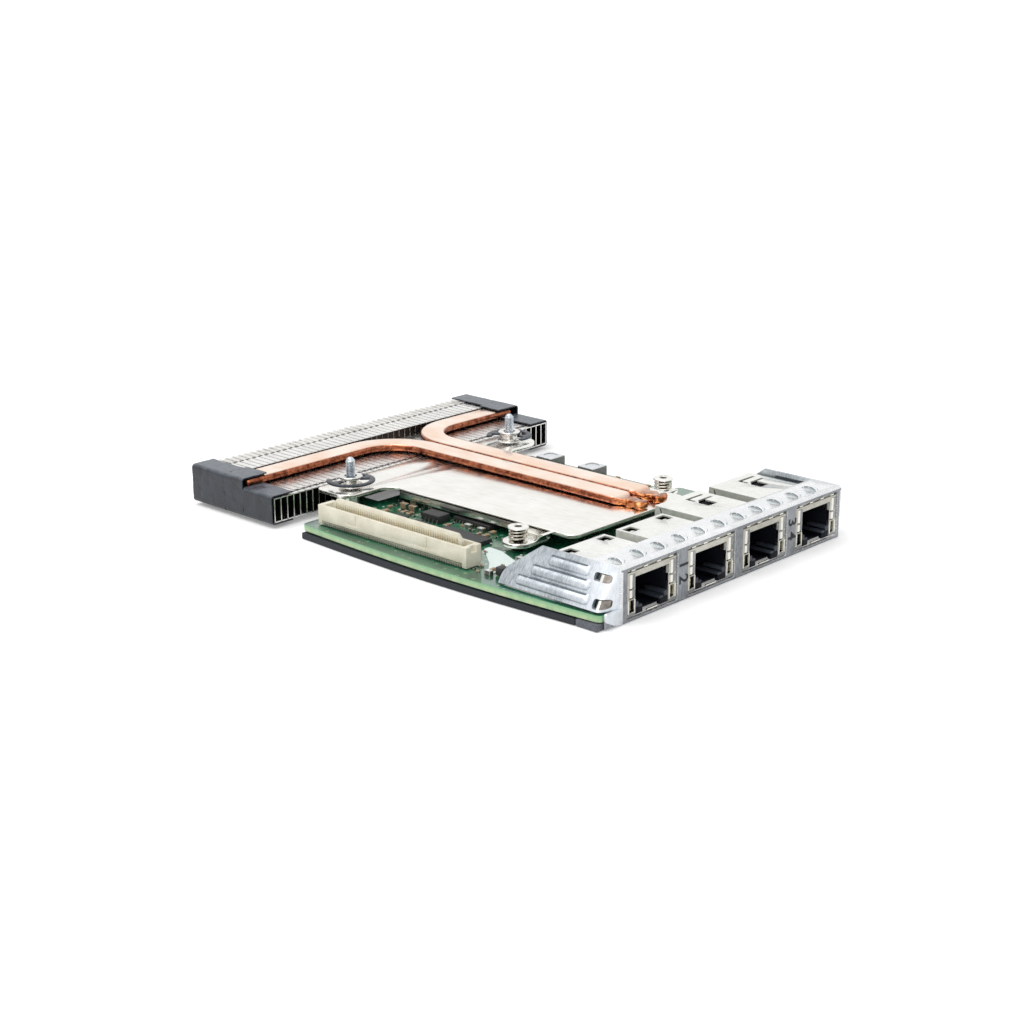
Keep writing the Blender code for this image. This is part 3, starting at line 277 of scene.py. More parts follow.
def tapeSlate():
    paint = Paint("tapeSlate", IOR=1.6)
    weave = paint.cloud(3.0, 3.0)
    folds = paint.cloud(0.3, 3.0, (1, 1, 0.4), 0.5, 0.9)
    worn = paint.band(weave * 0.35 + folds * 0.65, 0.38, 0.62)
    # painted shade: the upright sides darker than the top, picked by which way a face looks
    side = paint.mix(tint(12, 18, 28), tint(36, 43, 55), worn)
    top = paint.mix(tint(56, 64, 74), tint(98, 106, 115), worn)
    paint.feed("Base Color", paint.mix(side, top, paint.band(paint.upward(), 0.3, 0.9)))
    paint.feed("Roughness", paint.band(folds, 0.3, 0.7, 0.24, 0.42))
    paint.bump(weave * 0.25 + folds, 0.6, 0.00022)
    return paint.material


def lampMilky():
    paint = Paint("lampMilky", Transmission_Weight=0.35, IOR=1.49)
    clouds = paint.cloud(1.4, 2.0)
    paint.feed("Base Color", paint.mix(tint(150, 140, 110), tint(214, 206, 178), paint.band(clouds, 0.3, 0.7)))
    paint.feed("Roughness", paint.band(clouds, 0.3, 0.7, 0.18, 0.34))
    return paint.material


# painted shade: the flange turns greyer towards the rear
flangeShadeRun = (4.5, 14)                           # card y where the greyer steel starts and is full


def flangeSteelWork():
    # galvanised sheet with brushed strokes; greyer towards the rear, painted shade, where the strokes also show more
    paint = Paint("flangeSteel", Metallic=1.0)
    strokes = paint.cloud(1.3, 4.0, (1, 2.6, 0.4), 0.65, 0.3)
    clouds = paint.cloud(0.16, 3.0)
    worked = paint.band(strokes * 0.6 + clouds * 0.4, 0.36, 0.63)
    # painted shade at the rear, lighter at the front
    rear = paint.mix(tint(142, 149, 155), tint(208, 214, 219), worked)
    front = paint.mix(tint(212, 218, 225), tint(238, 242, 247), worked)
    y = paint.split(paint.place())[1]
    paint.feed("Base Color", paint.mix(front, rear, paint.band(y, *map(packedY, flangeShadeRun))))
    paint.feed("Roughness", paint.band(strokes, 0.3, 0.7, 0.36, 0.48))
    paint.bump(strokes, 0.3, 0.00003)
    return paint.material


def printInk(name, dark, light):
    paint = Paint(name, Roughness=0.6)
    clouds = paint.cloud(4.0, 3.0)
    paint.feed("Base Color", paint.mix(dark, light, paint.band(clouds, 0.3, 0.7)))
    return paint.material


# dark and light tone, roughness, stroke stretch and scale, metallic
metalLooks = {
    "bracketSteel": ((226, 228, 231), (248, 249, 250), 0.22, (0.5, 0.25, 0.9), 2.4, 0.65),
    # painted shade: a darker copy of the bracket steel for front faces, finger edges and the tuck
    "shadedFrontSteel": ((122, 125, 130), (168, 171, 175), 0.26, (0.7, 0.7, 0.3), 2.4, 1.0),
    # painted shade: a dark copy of the steel for the creases above the ribs and the hook tongues
    "creaseShadeSteel": ((84, 90, 96), (126, 132, 138), 0.3, (0.6, 0.6, 0.6), 2.0, 1.0),
    "hookShade": ((122, 114, 108), (178, 170, 163), 0.3, (0.4, 0.4, 1), 2.0, 1.0),
    "shieldSteel": ((232, 232, 227), (251, 251, 248), 0.2, (0.8, 0.3, 0.8), 1.6, 1.0),
    # painted shade: a duller, darker copy of the shield steel for the can's upright sides
    "shieldSideShade": ((194, 196, 188), (222, 223, 216), 0.3, (0.5, 0.5, 0.2), 1.2, 0.3),
    # painted reflection: a pale sheet under each spring finger
    "dishPaleReflection": ((224, 232, 232), (244, 248, 248), 0.3, (1, 1, 0.4), 2.0, 0.2),
    "springLit": ((232, 229, 218), (254, 253, 248), 0.16, (1, 1, 0.4), 2.0, 1.0),
    "springShade": ((122, 125, 127), (170, 172, 172), 0.26, (1, 1, 0.4), 2.0, 1.0),
    # painted shade: a beige-grey copy of the shield steel for the can's front and the springs' recessed side
    "beigeShadeSteel": ((176, 174, 163), (208, 206, 196), 0.3, (0.4, 1, 1), 2.0, 1.0),
    # painted shade: the gold contacts darkened as they sit in the socket's shadow
    "shadedContactGold": ((92, 74, 46), (134, 108, 68), 0.2, (1, 0.3, 1), 3.0, 1.0),
    "contactDull": ((206, 196, 168), (230, 222, 200), 0.3, (1, 0.3, 1), 3.0, 1.0),
    "leadTin": ((150, 146, 134), (214, 210, 198), 0.3, (1, 1, 1), 3.0, 1.0),
    "plateNickel": ((238, 236, 230), (252, 251, 247), 0.2, (0.9, 0.12, 0.9), 2.0, 1.0),
    "finSilver": ((222, 221, 218), (250, 249, 246), 0.24, (0.6, 0.4, 0.3), 1.6, 1.0),
    "finShadow": ((44, 42, 40), (82, 78, 74), 0.4, (0.6, 0.4, 0.3), 1.6, 1.0),
    "screwZinc": ((160, 169, 180), (218, 225, 231), 0.22, (1, 1, 0.3), 2.0, 1.0),
    "springSteel": ((160, 152, 138), (226, 221, 210), 0.2, (1, 1, 1), 2.0, 1.0),
    "shankDark": ((30, 26, 22), (64, 57, 48), 0.36, (1, 1, 1), 2.0, 1.0),
    "sleeveNickel": ((206, 204, 198), (245, 244, 240), 0.2, (0.3, 0.3, 1.6), 2.0, 1.0),
    "clipBlack": ((40, 43, 50), (86, 91, 100), 0.3, (1, 1, 1), 2.0, 1.0),
}
# dark and light tone, roughness, grain and what else differs
plasticLooks = {
    "housingBlack": ((8, 10, 17), (16, 19, 28), 0.45, 6.0, {"Specular_IOR_Level": 0.15}),
    # painted highlight: a paler copy of the black housing for its steps
    "housingStepLit": ((40, 45, 54), (62, 68, 78), 0.4, 6.0, {}),
    "connectorIvory": ((216, 210, 189), (236, 231, 213), 0.4, 3.0, {"depth": 0.000006}),
    "chipBlack": ((30, 30, 32), (56, 56, 56), 0.42, 4.0, {}),
    "padGrey": ((160, 162, 166), (196, 198, 200), 0.75, 3.0, {}),
    "capacitorTan": ((134, 104, 74), (178, 146, 110), 0.45, 5.0, {}),
}
finishes = {
    "flangeSteel": flangeSteelWork(),
    "lampMilky": lampMilky(),
    "boardGreen": boardMask(),
    "filmDark": filmDark(),
    "foamGrey": foamGrey(),
    "pipeCopper": pipeCopper(),
    "powderCore": powderCore(),
    "tapeSlate": tapeSlate(),
    "inkDark": printInk("inkDark", tint(16, 18, 24), tint(36, 39, 46)),
    "inkWhite": printInk("inkWhite", tint(214, 230, 226), tint(238, 246, 243)),
}
for name, (dark, light, rough, stretch, scale, metallic) in metalLooks.items():
    finishes[name] = brushedMetal(name, tint(*dark), tint(*light), rough, stretch, scale, metallic)
for name, (dark, light, rough, grain, more) in plasticLooks.items():
    finishes[name] = mouldedPlastic(name, tint(*dark), tint(*light), rough, grain, **more)
slotFinish = {
    "board_green": "boardGreen", "insulator_dark": "filmDark", "foam_grey": "foamGrey",
    "bracket_steel": "bracketSteel", "shield_steel": "shieldSteel", "housing_black": "housingBlack",
    "contact_gold": "shadedContactGold", "lamp_clear": "lampMilky", "connector_ivory": "connectorIvory",
    "lead_tin": "leadTin", "plate_nickel": "plateNickel", "pipe_copper": "pipeCopper", "fin_silver": "finSilver",
    "tape_black": "tapeSlate", "screw_zinc": "screwZinc", "spring_steel": "springSteel",
    "sleeve_nickel": "sleeveNickel", "clip_black": "clipBlack", "chip_black": "chipBlack", "pad_grey": "padGrey",
    "choke_grey": "powderCore", "capacitor_tan": "capacitorTan",
}
print("network card: %d finishes made" % len(finishes))

for subpart in frame["record"]["subparts"]:      # every CAD node gets its worked finish
    node = frame["nodes"][subpart["node"]]
    node.data.materials.clear()
    node.data.materials.append(finishes[slotFinish[subpart["material_slot"]]])


# shaping helpers
def pick(*pieces):
    if bpy.context.object and bpy.context.object.mode == "EDIT":
        bpy.ops.object.mode_set(mode="OBJECT")
    bpy.ops.object.select_all(action="DESELECT")
    for piece in pieces:
        piece.select_set(True)
    if pieces:
        bpy.context.view_layer.objects.active = pieces[-1]


def inPlane(plane, a, b, c):
    return {"XY": (a, b, c), "YZ": (c, a, b), "XZ": (a, c, b)}[plane]


def sheetPlate(outline, low, high, plane="XY"):
    # a flat outline drawn on a circle's points, then extruded
    pick()
    bpy.ops.mesh.primitive_circle_add(vertices=len(outline), fill_type="NGON")
    piece = bpy.context.object
    for vert, (a, b) in zip(piece.data.vertices, outline):
        vert.co = inPlane(plane, a, b, low)
    bpy.ops.object.mode_set(mode="EDIT")
    bpy.ops.mesh.select_all(action="SELECT")
    bpy.ops.mesh.extrude_region_move(TRANSFORM_OT_translate={"value": inPlane(plane, 0, 0, high - low)})
    tidyNormals()
    bpy.ops.object.mode_set(mode="OBJECT")
    return piece


def tidyNormals():
    bpy.ops.mesh.select_all(action="SELECT")
    bpy.ops.mesh.remove_doubles(threshold=0.0005)
    bpy.ops.mesh.normals_make_consistent(inside=False)


def block(x0, x1, y0, y1, z0, z1):
    pick()
    bpy.ops.mesh.primitive_cube_add(size=1, location=((x0 + x1) / 2, (y0 + y1) / 2, (z0 + z1) / 2),
                                    scale=(x1 - x0, y1 - y0, z1 - z0))
    piece = bpy.context.object
    bpy.ops.object.transform_apply(location=True, rotation=True, scale=True)
    return piece


def rounded(corners, steps=5):
    # outline from (a, b, radius) corners, each a true arc
    outline = []
    for index, (a, b, radius) in enumerate(corners):
        here = Vector((a, b))
        if radius <= 0:
            outline.append((a, b))
            continue
        before = (Vector(corners[index - 1][:2]) - here).normalized()
        after = (Vector(corners[(index + 1) % len(corners)][:2]) - here).normalized()
        half = before.angle(after) / 2
        centre = here + (before + after).normalized() * (radius / math.sin(half))
        first = here + before * (radius / math.tan(half)) - centre
        last = here + after * (radius / math.tan(half)) - centre
        sweep = first.angle_signed(last)
        for step in range(steps + 1):
            point = centre + Matrix.Rotation(-sweep * step / steps, 2) @ first
            outline.append((point.x, point.y))
    return outline


def roundRect(a0, a1, b0, b1, radius, steps=4):
    return rounded([(a0, b0, radius), (a1, b0, radius), (a1, b1, radius), (a0, b1, radius)], steps)


def disc(a, b, radius, sides=32):
    return [(a + radius * math.cos(math.tau * k / sides), b + radius * math.sin(math.tau * k / sides))
            for k in range(sides)]


def joined(*pieces):
    pick(*pieces)
    bpy.ops.object.join()
    return bpy.context.object


def modify(piece, kind, **settings):
    pick(piece)
    step = piece.modifiers.new(kind.lower(), kind)
    for key, value in settings.items():
        setattr(step, key, value)
    bpy.ops.object.modifier_apply(modifier=step.name)
    return piece


def carve(piece, *tools, operation="DIFFERENCE"):
    tool = joined(*tools) if len(tools) > 1 else tools[0]
    modify(piece, "BOOLEAN", operation=operation, solver="EXACT", object=tool)
    bpy.data.objects.remove(tool, do_unlink=True)
    return piece


def soften(piece, width, segments=2, angle=35):
    return modify(piece, "BEVEL", width=width, segments=segments, limit_method="ANGLE",
                  angle_limit=math.radians(angle), harden_normals=False, miter_outer="MITER_ARC")


def turnedPiece(x, y, profile, sides=48):
    # a disc extruded and resized from one (radius, height) to the next
    pick()
    radius, height = profile[0]
    bpy.ops.mesh.primitive_circle_add(vertices=sides, radius=radius, fill_type="NGON", location=(x, y, height))
    piece = bpy.context.object
    bpy.ops.object.transform_apply(location=True, rotation=True, scale=True)
    bpy.ops.object.mode_set(mode="EDIT")
    bpy.ops.mesh.select_all(action="SELECT")
    for newRadius, newHeight in profile[1:]:
        bpy.ops.mesh.extrude_region_move(TRANSFORM_OT_translate={"value": (0, 0, newHeight - height)})
        bpy.ops.transform.resize(value=(newRadius / radius, newRadius / radius, 1), center_override=(x, y, newHeight))
        radius, height = newRadius, newHeight
    bpy.ops.mesh.select_all(action="SELECT")
    bpy.ops.mesh.normals_make_consistent(inside=False)
    bpy.ops.object.mode_set(mode="OBJECT")
    return piece


def coiled(x, y, low, section, rise, turns, steps):
    # a small closed section swept up a screw line, with both ends filled
    pick()
    bpy.ops.mesh.primitive_circle_add(vertices=len(section), fill_type="NOTHING")
    piece = bpy.context.object
    for vert, (out, up) in zip(piece.data.vertices, section):
        vert.co = (out, 0, up)
    modify(piece, "SCREW", axis="Z", angle=math.tau, screw_offset=rise, iterations=turns, steps=steps,
           render_steps=steps, use_merge_vertices=False)
    bpy.ops.object.mode_set(mode="EDIT")
    bpy.ops.mesh.select_all(action="DESELECT")
    bpy.ops.mesh.select_mode(type="EDGE")
    bpy.ops.mesh.select_non_manifold()
    bpy.ops.mesh.fill()
    tidyNormals()
    bpy.ops.transform.translate(value=(x, y, low))
    bpy.ops.object.mode_set(mode="OBJECT")
    return piece


def curvedSheet(rows, columns, where, thickness):
    # a grid whose points are placed by where(u, v), then given its thickness inwards
    pick()
    bpy.ops.mesh.primitive_grid_add(x_subdivisions=columns, y_subdivisions=rows, size=2)
    piece = bpy.context.object
    for vert in piece.data.vertices:
        vert.co = where((vert.co.x + 1) / 2, (vert.co.y + 1) / 2)
    modify(piece, "SOLIDIFY", thickness=thickness, offset=0, use_even_offset=False)
    bpy.ops.object.mode_set(mode="EDIT")
    bpy.ops.mesh.select_all(action="SELECT")
    bpy.ops.mesh.normals_make_consistent(inside=False)
    bpy.ops.object.mode_set(mode="OBJECT")
    return piece


def smooth(piece, angle=30):
    pick(piece)
    bpy.ops.object.shade_smooth_by_angle(angle=math.radians(angle))
    return piece


def dress(piece, *names):
    piece.data.materials.clear()
    for name in names:
        piece.data.materials.append(finishes[name])
    return piece


def tone(piece, finish, chosen):
    # a second finish on the faces that chosen(centre, normal) picks
    if finishes[finish].name not in piece.data.materials:
        piece.data.materials.append(finishes[finish])
    index = piece.data.materials.find(finishes[finish].name)
    for face in piece.data.polygons:
        if chosen(face.center, face.normal):
            face.material_index = index
    return piece


def settle(piece, name, slotName, replaced=(), body="card", angle=30):
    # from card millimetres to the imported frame, with the object at the origin, on its body
    smooth(piece, angle)
    piece.name = name
    piece.data.name = name
    pick(piece)
    bpy.ops.object.transform_apply(location=True, rotation=True, scale=True)
    piece.scale = (0.001, 0.001, 0.001)
    piece.location = cardOrigin
    bpy.ops.object.transform_apply(location=True, rotation=True, scale=True)
    if not piece.data.materials:
        piece.data.materials.append(finishes[slotFinish[slotName]])
    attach(piece, body)
    if replaced:
        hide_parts(*replaced)
    return piece


def copyTo(piece, offsets, keep=False):
    # copies with their own mesh at each offset; the pattern goes unless it is kept
    copies = []
    for offset in offsets:
        copy = piece.copy()
        copy.data = piece.data.copy()
        bpy.context.scene.collection.objects.link(copy)
        pick(copy)
        copy.location = offset
        bpy.ops.object.transform_apply(location=True, rotation=True, scale=True)
        copies.append(copy)
    if not keep:
        bpy.data.objects.remove(piece, do_unlink=True)
    return copies


def bar(x0, x1, y0, y1, z0, z1, edge, finish, segments=1):
    # a small softened block in its own finish
    return dress(soften(block(x0, x1, y0, y1, z0, z1), edge, segments), finish)


def united(tools):
    for tool in tools[1:]:
        carve(tools[0], tool, operation="UNION")
    return tools[0]


# port bracket
bracketSize = {
    "width": 86.4, "height": 13.4, "sheet": 0.8, "stripDepth": 8.9, "bend": 1.1, "corner": 0.7,
    "windows": ((2.25, 20.35), (24.0, 42.1), (45.1, 63.2), (66.85, 84.95)), "sill": 0.6, "lintel": 12.2,
    "lean": 5.45, "leanRun": 2.2, "flangeFront": 0.7, "flangeFoot": 3.72, "flangeEnd": 32.2, "flangeTopEnd": 23.3,
    "flangeRearTop": 6.7, "ribs": ((8.0, 20.0, 11.15), (6.8, 24.0, 8.45), (5.7, 27.4, 5.72)), "ribRadius": 0.95,
    "ribHeight": 0.9, "crease": 0.24, "flangeSheet": 0.7, "flangeInset": 0.36,
    "hooks": ((1.6, 6.4, 9.75, 11.5), (0.95, 4.3, 4.35, 6.45)),
}
fingerSize = {"count": 11, "first": 3.5, "last": 78.7, "y": 4.3, "long": 5.2, "wide": 4.0, "rise": 0.8, "slit": 0.4,
              "tilt": 0.2, "dish": 0.3}


def flangeTop(y):
    size = bracketSize
    top = size["height"] - 0.06
    if y <= size["flangeTopEnd"]:
        return top
    share = (y - size["flangeTopEnd"]) / (size["flangeEnd"] - size["flangeTopEnd"])
    line = top + (size["flangeRearTop"] - top) * share
    curl = max(0, (share - 0.8) / 0.2)
    return line - 1.6 * (1 - math.sqrt(max(0, 1 - curl * curl)))


def ribReach(y, z, rib):
    front, rear, level = rib
    radius = bracketSize["ribRadius"]
    nearest = min(max(y, front + radius), rear - radius)
    return math.hypot(y - nearest, z - level) / radius


def leanAt(y, z, side):
    size = bracketSize
    run = min(1, max(0, (y - size["flangeFront"]) / size["leanRun"]))
    share = (size["height"] - z) / (size["height"] - size["flangeFoot"])
    return size["lean"] * math.sin(run * math.pi / 2) ** 0.9 * share if side < 0 else 0


def makeFlange(side):
    size = bracketSize
    outer = 0 if side < 0 else size["width"]
    start, foot = size["flangeFront"], size["flangeFoot"]

    def where(u, v):
        y = start + (size["flangeEnd"] - start) * u ** 1.15
        z = foot + (flangeTop(y) - foot) * v
        away = min(min(ribReach(y, z, rib) for rib in size["ribs"]), 1)
        swell = size["ribHeight"] * (1 - away * away) ** 0.6
        return (outer + side * (leanAt(y, z, side) + swell - size["flangeInset"]), y, z)
    flange = curvedSheet(*((88, 170) if side < 0 else (48, 100)), where, size["flangeSheet"])
    carve(flange, *[sheetPlate(roundRect(y0, y1, z0, z1, 0.6), outer - 8, outer + 8, "YZ")
                    for y0, y1, z0, z1 in size["hooks"]])
    dress(flange, "flangeSteel")

    def creased(centre, normal):
        y, z = centre.y, centre.z
        return any(1.0 < ribReach(y, z, rib) < 1.0 + size["crease"] and z > rib[2] and rib[0] + 0.8 < y < rib[1] - 0.4
                   for rib in size["ribs"])
    # painted shade along the crease just above each rib
    tone(flange, "creaseShadeSteel", creased)
    tabs = []
    for y0, y1, z0, z1 in size["hooks"]:         # the curled tongue seen in each hook window

        def curl(u, v):
            y = y1 - 0.1 - (y1 - y0 - 0.3) * u
            z = z0 - 0.1 + (z1 - z0 - 0.15) * v
            depth = -1.25 * math.cos(min(1, u / 0.45) * math.pi / 2) ** 1.2 - 0.5 * max(0, (u - 0.5) / 0.5) ** 1.5
            return (outer + side * (leanAt(y, z, side) + depth - 0.1), y, z)
        # the tongue in painted highlight, with painted shade on its front and rear shares
        tab = dress(curvedSheet(6, 26, curl, 0.3), "springLit")
        width = y1 - y0
        tone(tab, "hookShade", lambda centre, normal, y0=y0, width=width: centre.y < y0 + width * 0.42)
        tone(tab, "creaseShadeSteel", lambda centre, normal, y0=y0, width=width: centre.y > y0 + width * 0.7)
        tabs.append(tab)
    return joined(*tabs, flange)


def roundCorners(wall):
    # the upright folds at both ends of the front wall
    size = bracketSize
    pick(wall)
    bpy.context.tool_settings.mesh_select_mode = (False, True, False)
    bpy.ops.object.mode_set(mode="EDIT")
    bpy.ops.mesh.select_all(action="DESELECT")
    bpy.ops.object.mode_set(mode="OBJECT")
    for edge in wall.data.edges:
        a, b = (wall.data.vertices[k].co for k in edge.vertices)
        atEnd = min(abs(a.x - 0.05), abs(a.x - size["width"] + 0.05)) < 0.01 and abs(a.x - b.x) < 0.01
        edge.select = atEnd and max(a.y, b.y) < 0.01 and abs(a.z - b.z) > 1
    bpy.ops.object.mode_set(mode="EDIT")
    bpy.ops.mesh.bevel(offset=size["corner"], segments=5, affect="EDGES")
    bpy.ops.object.mode_set(mode="OBJECT")


def lensOutline(x, y, long, wide, steps=10):
    # pointed at both ends, lying along y and leaning a little to the right
    half, rise = long / 2, wide / 2
    radius = (half * half + rise * rise) / (2 * rise)
    reach = math.asin(half / radius)
    outline = []
    for side in (-1, 1):
        for step in range(steps):
            angle = -reach + 2 * reach * step / steps
            along, across = side * -radius * math.sin(angle), side * (rise - radius + radius * math.cos(angle))
            outline.append((x - across + along * fingerSize["tilt"], y + along))
    return outline


def makeFinger():
    # a sprung tongue, arched up out of the strip and cut free along both sides
    size, top = fingerSize, bracketSize["height"]

    def where(u, v):
        along = (u - 0.5) * (size["long"] - 0.3)
        belly = 1 - (2 * u - 1) ** 2
        right = size["wide"] / 2 * belly - size["slit"] * 0.6
        left = size["wide"] * 0.04 * belly - 0.12
        across = left + (right - left) * v
        arch = belly ** 1.1 * (1 - 0.25 * (2 * v - 1) ** 2)
        return (across + along * size["tilt"], along, top - 0.25 + size["rise"] * arch)
    finger = dress(curvedSheet(10, 26, where, 0.4), "bracketSteel")
    # painted shade on the finger's upright edges
    tone(finger, "shadedFrontSteel", lambda centre, normal: abs(normal.z) < 0.4)
    # a pale dish under the finger, a painted reflection
    dish = sheetPlate(lensOutline(0, 0, size["long"], size["wide"]), top - 0.72, top - size["dish"])
    return joined(dress(dish, "dishPaleReflection"), finger)


def makeBracket():
    size = bracketSize
    sheet, high, deep = size["sheet"], size["height"], size["stripDepth"]
    bend = size["bend"]
    profile = rounded([(0, 0, 0), (sheet, 0, 0), (sheet, high - sheet, 0.25), (deep, high - sheet, 0),
                       (deep, high, 0), (0, high, bend)], 8)
    wall = sheetPlate(profile, 0.05, size["width"] - 0.05, "YZ")
    roundCorners(wall)
    tools = [sheetPlate(roundRect(x0, x1, size["sill"], size["lintel"], 0.35), -1, 2, "XZ")
             for x0, x1 in size["windows"]]
    run = (fingerSize["last"] - fingerSize["first"]) / (fingerSize["count"] - 1)
    places = [fingerSize["first"] + run * k for k in range(fingerSize["count"])]
    front = (1.0, size["width"] - 1.0)
    for x in places:                             # one opening under each spring finger
        tools.append(sheetPlate(lensOutline(x, fingerSize["y"], fingerSize["long"], fingerSize["wide"]),
                                high - sheet - 1, high + 1))
    carve(wall, *tools)
    soften(wall, 0.12, 2, 40)
    dress(wall, "bracketSteel")
    # painted shade on the wall's front faces
    tone(wall, "shadedFrontSteel",
         lambda centre, normal: normal.y < -0.9 and centre.y < 0.7 and front[0] < centre.x < front[1])
    fingers = copyTo(makeFinger(), [(x, fingerSize["y"], 0) for x in places])
    lipCorners = [(-5.0, 1.9, 0.3), (-1.7, 0.3, 0.5), (0.8, 0, 0), (0.8, 3.9, 0), (-5.0, 3.9, 0.5)]
    lip = sheetPlate(rounded(lipCorners), 0.02, 0.7, "XZ")
    dress(soften(lip, 0.12, 2), "flangeSteel")
    # a tucked triangle under the lip, in painted shade
    tuck = sheetPlate([(-4.9, 0.1), (-0.6, 0.2), (-1.7, 0.8), (-4.9, 2.2)], 0.5, 0.9, "XZ")
    dress(soften(tuck, 0.1, 1), "shadedFrontSteel")
    bracket = joined(lip, tuck, *fingers, makeFlange(-1), makeFlange(1), wall)
    settle(bracket, "port_bracket", "bracket_steel", ("io_bracket",))


makeBracket()
print("network card: bracket folded")

# sockets
socketSize = {
    "centres": (11.3, 33.05, 54.15, 75.9), "depths": (22.0, 22.0, 27.2, 27.2), "half": 8.7, "floor": 0.9, "top": 11.8,
    "front": 0.2, "sheet": 0.5, "plugHalf": 5.9, "plugFloor": 3.2, "plugTop": 10.0, "plugDepth": 13.0,
    "lampLow": 1.8, "lampHigh": 4.7, "lampIn": 6.15, "lampOut": 7.9, "slits": (5.05, 7.35), "slit": 0.3,
    "strips": ((5.4, 7.2), (7.6, 10.9)), "wiper": (7.9, 9.7), "tongues": (-6.6, -2.2, 2.4, 6.8), "tabs": 6.2,
    "setBack": 0.12, "windowHalf": 1.7, "windowRun": (17.8, 20.9), "bodyEnd": 4.2, "latchHalf": 4.5, "keyHalf": 3.1,
    "latchEnd": 9.2, "lampSlot": (6.35, 9.5),
    "seam": ((25.7, 11.3), (25.3, 11.3), (24.0, 7.2), (24.4, 7.2)),
    "lances": (((0.3, 21.9), (1.2, 21.9), (1.2, 24.0), (6.8, 24.0), (6.8, 24.85), (0.3, 24.85)),
               ((0.2, 17.4), (3.9, 17.4), (3.9, 21.3), (7.1, 21.3), (7.1, 22.1), (2.1, 22.1), (0.2, 20.4))),
}


def cutCan(x, depth, short):
    # the folded can with its openings, with painted shade: beige front, darker sides and black inner faces
    size = socketSize
    half, floor, top, front, sheet = size["half"], size["floor"], size["top"], size["front"], size["sheet"]
    near = front + size["setBack"]
    can = block(x - half, x + half, near, depth, floor, top)
    tools = [block(x - half + sheet, x + half - sheet, near + sheet, depth - sheet, floor + sheet, top - sheet),
             block(x - size["plugHalf"], x + size["plugHalf"], -1, front + 2, floor - 1, size["plugTop"])]
    for side in (-1, 1):
        a, b = sorted((x + side * size["lampIn"], x + side * size["lampOut"]))
        tools.append(block(a, b, -1, front + 2, size["lampLow"], size["lampHigh"]))
        for level in size["slits"]:              # thin cuts that part the side springs
            tools.append(block(a, b, -1, front + 2, level, level + size["slit"]))
        if short:
            middle, wide = x + side * size["tabs"], size["windowHalf"]
            window = roundRect(middle - wide, middle + wide, *size["windowRun"], 0.3)
            tools.append(sheetPlate(window, top - 1.2, top + 1))
    if not short:                                # nested L shaped cuts, and the slanted seam in the outer side
        for outline in size["lances"]:
            tools.append(sheetPlate([(x + a, b) for a, b in outline], top - 1.2, top + 1))
        tools.append(sheetPlate(size["seam"], x - half - 1, x - half + 0.3, "YZ"))
    tools.append(block(x - half - 1, x + half + 1, -1, 1.0, top - 0.4, top + 1))
    carve(can, united(tools))
    soften(can, 0.1, 2, 40)
    dress(can, "shieldSteel")
    # painted shade by which way a face looks, and black inside the can where shade falls
    tone(can, "beigeShadeSteel", lambda centre, normal: normal.y < -0.6 and centre.y < 1.5)
    tone(can, "shieldSideShade", lambda centre, normal: abs(normal.z) < 0.5 and centre.y > 1.5)
    tone(can, "housingBlack", lambda centre, normal: abs(centre.x - x) < half - 0.2 and 1.2 < centre.y < depth - 0.2
         and floor + 0.1 < centre.z < top - 0.45)
    return can


def sideSprings(x, side):
    # two sprung strips, the lamp window's frame and the spring that wipes the plug
    size = socketSize
    front, lampLow, lampHigh = size["front"], size["lampLow"], size["lampHigh"]
    a, b = sorted((x + side * (size["lampIn"] - 0.15), x + side * (size["lampOut"] + 0.6)))
    wide = b - a
    shaded, lit = a + wide * 0.18, a + wide * 0.46
    springs = []
    for z0, z1 in size["strips"]:
        ridge = [(a, front + 0.06), (a + wide * 0.2, front - 0.04), (a + wide * 0.36, front - 0.18),
                 (a + wide * 0.5, front - 0.12), (a + wide * 0.8, front - 0.02), (b, front + 0.06)]
        strip = sheetPlate(ridge + [(p, q + 0.3) for p, q in reversed(ridge)], z0, z1)
        # painted shade and highlight across each strip: beige-grey recess, bright ridge, grey slope
        dress(soften(strip, 0.06, 1), "springShade")
        tone(strip, "beigeShadeSteel", lambda centre, normal: centre.x < shaded)
        tone(strip, "springLit", lambda centre, normal: shaded < centre.x < lit)
        springs.append(strip)
    for p, q in ((a, a + 0.36), (b - 0.32, b)):
        springs.append(bar(p, q, front - 0.05, front + 0.35, lampLow - 0.2, lampHigh + 0.15, 0.05, "springLit"))
    springs.append(bar(a, b, front - 0.05, front + 0.35, lampLow - 0.75, lampLow - 0.1, 0.06, "springShade"))
    curl = []
    for step in range(9):
        angle = math.pi * step / 8
        out = size["plugHalf"] + 0.15 - 0.45 * math.sin(angle)
        curl.append((x + side * out, front + 1.1 - 0.9 * math.cos(angle)))
    curl += [(p + side * 0.2, q) for p, q in reversed(curl)]
    springs.append(dress(sheetPlate(curl, *size["wiper"]), "springShade"))
    return springs


def makeShield(number, x, depth):
    size = socketSize
    floor, top, front = size["floor"], size["top"], size["front"]
    short = number <= 2
    can = cutCan(x, depth, short)
    parts = sideSprings(x, -1) + sideSprings(x, 1)
    for offset in size["tongues"]:               # small tongues between the strip and the can
        parts.append(bar(x + offset - 0.7, x + offset + 0.7, 0.25, 1.4, top - 0.25, top + 0.1, 0.08, "springLit"))
    parts.append(bar(x - 1.9, x + 1.9, front - 0.1, front + 0.4, floor + 0.05, floor + 0.4, 0.08, "springLit"))
    for side in (-1, 1) if short else ():        # lanced tabs bent down into the top windows
        tab = x + side * size["tabs"]
        outline = [(tab - 0.6, 17.9), (tab + 1.1, 17.9), (tab + 1.1, 19.8), (tab - 0.1, 19.8)]
        parts.append(dress(sheetPlate(outline, top - 0.9, top - 0.6), "shieldSteel"))
    settle(joined(*parts, can), "socket_can_%d" % number, "shield_steel", ("jack_shield_%d" % number,))


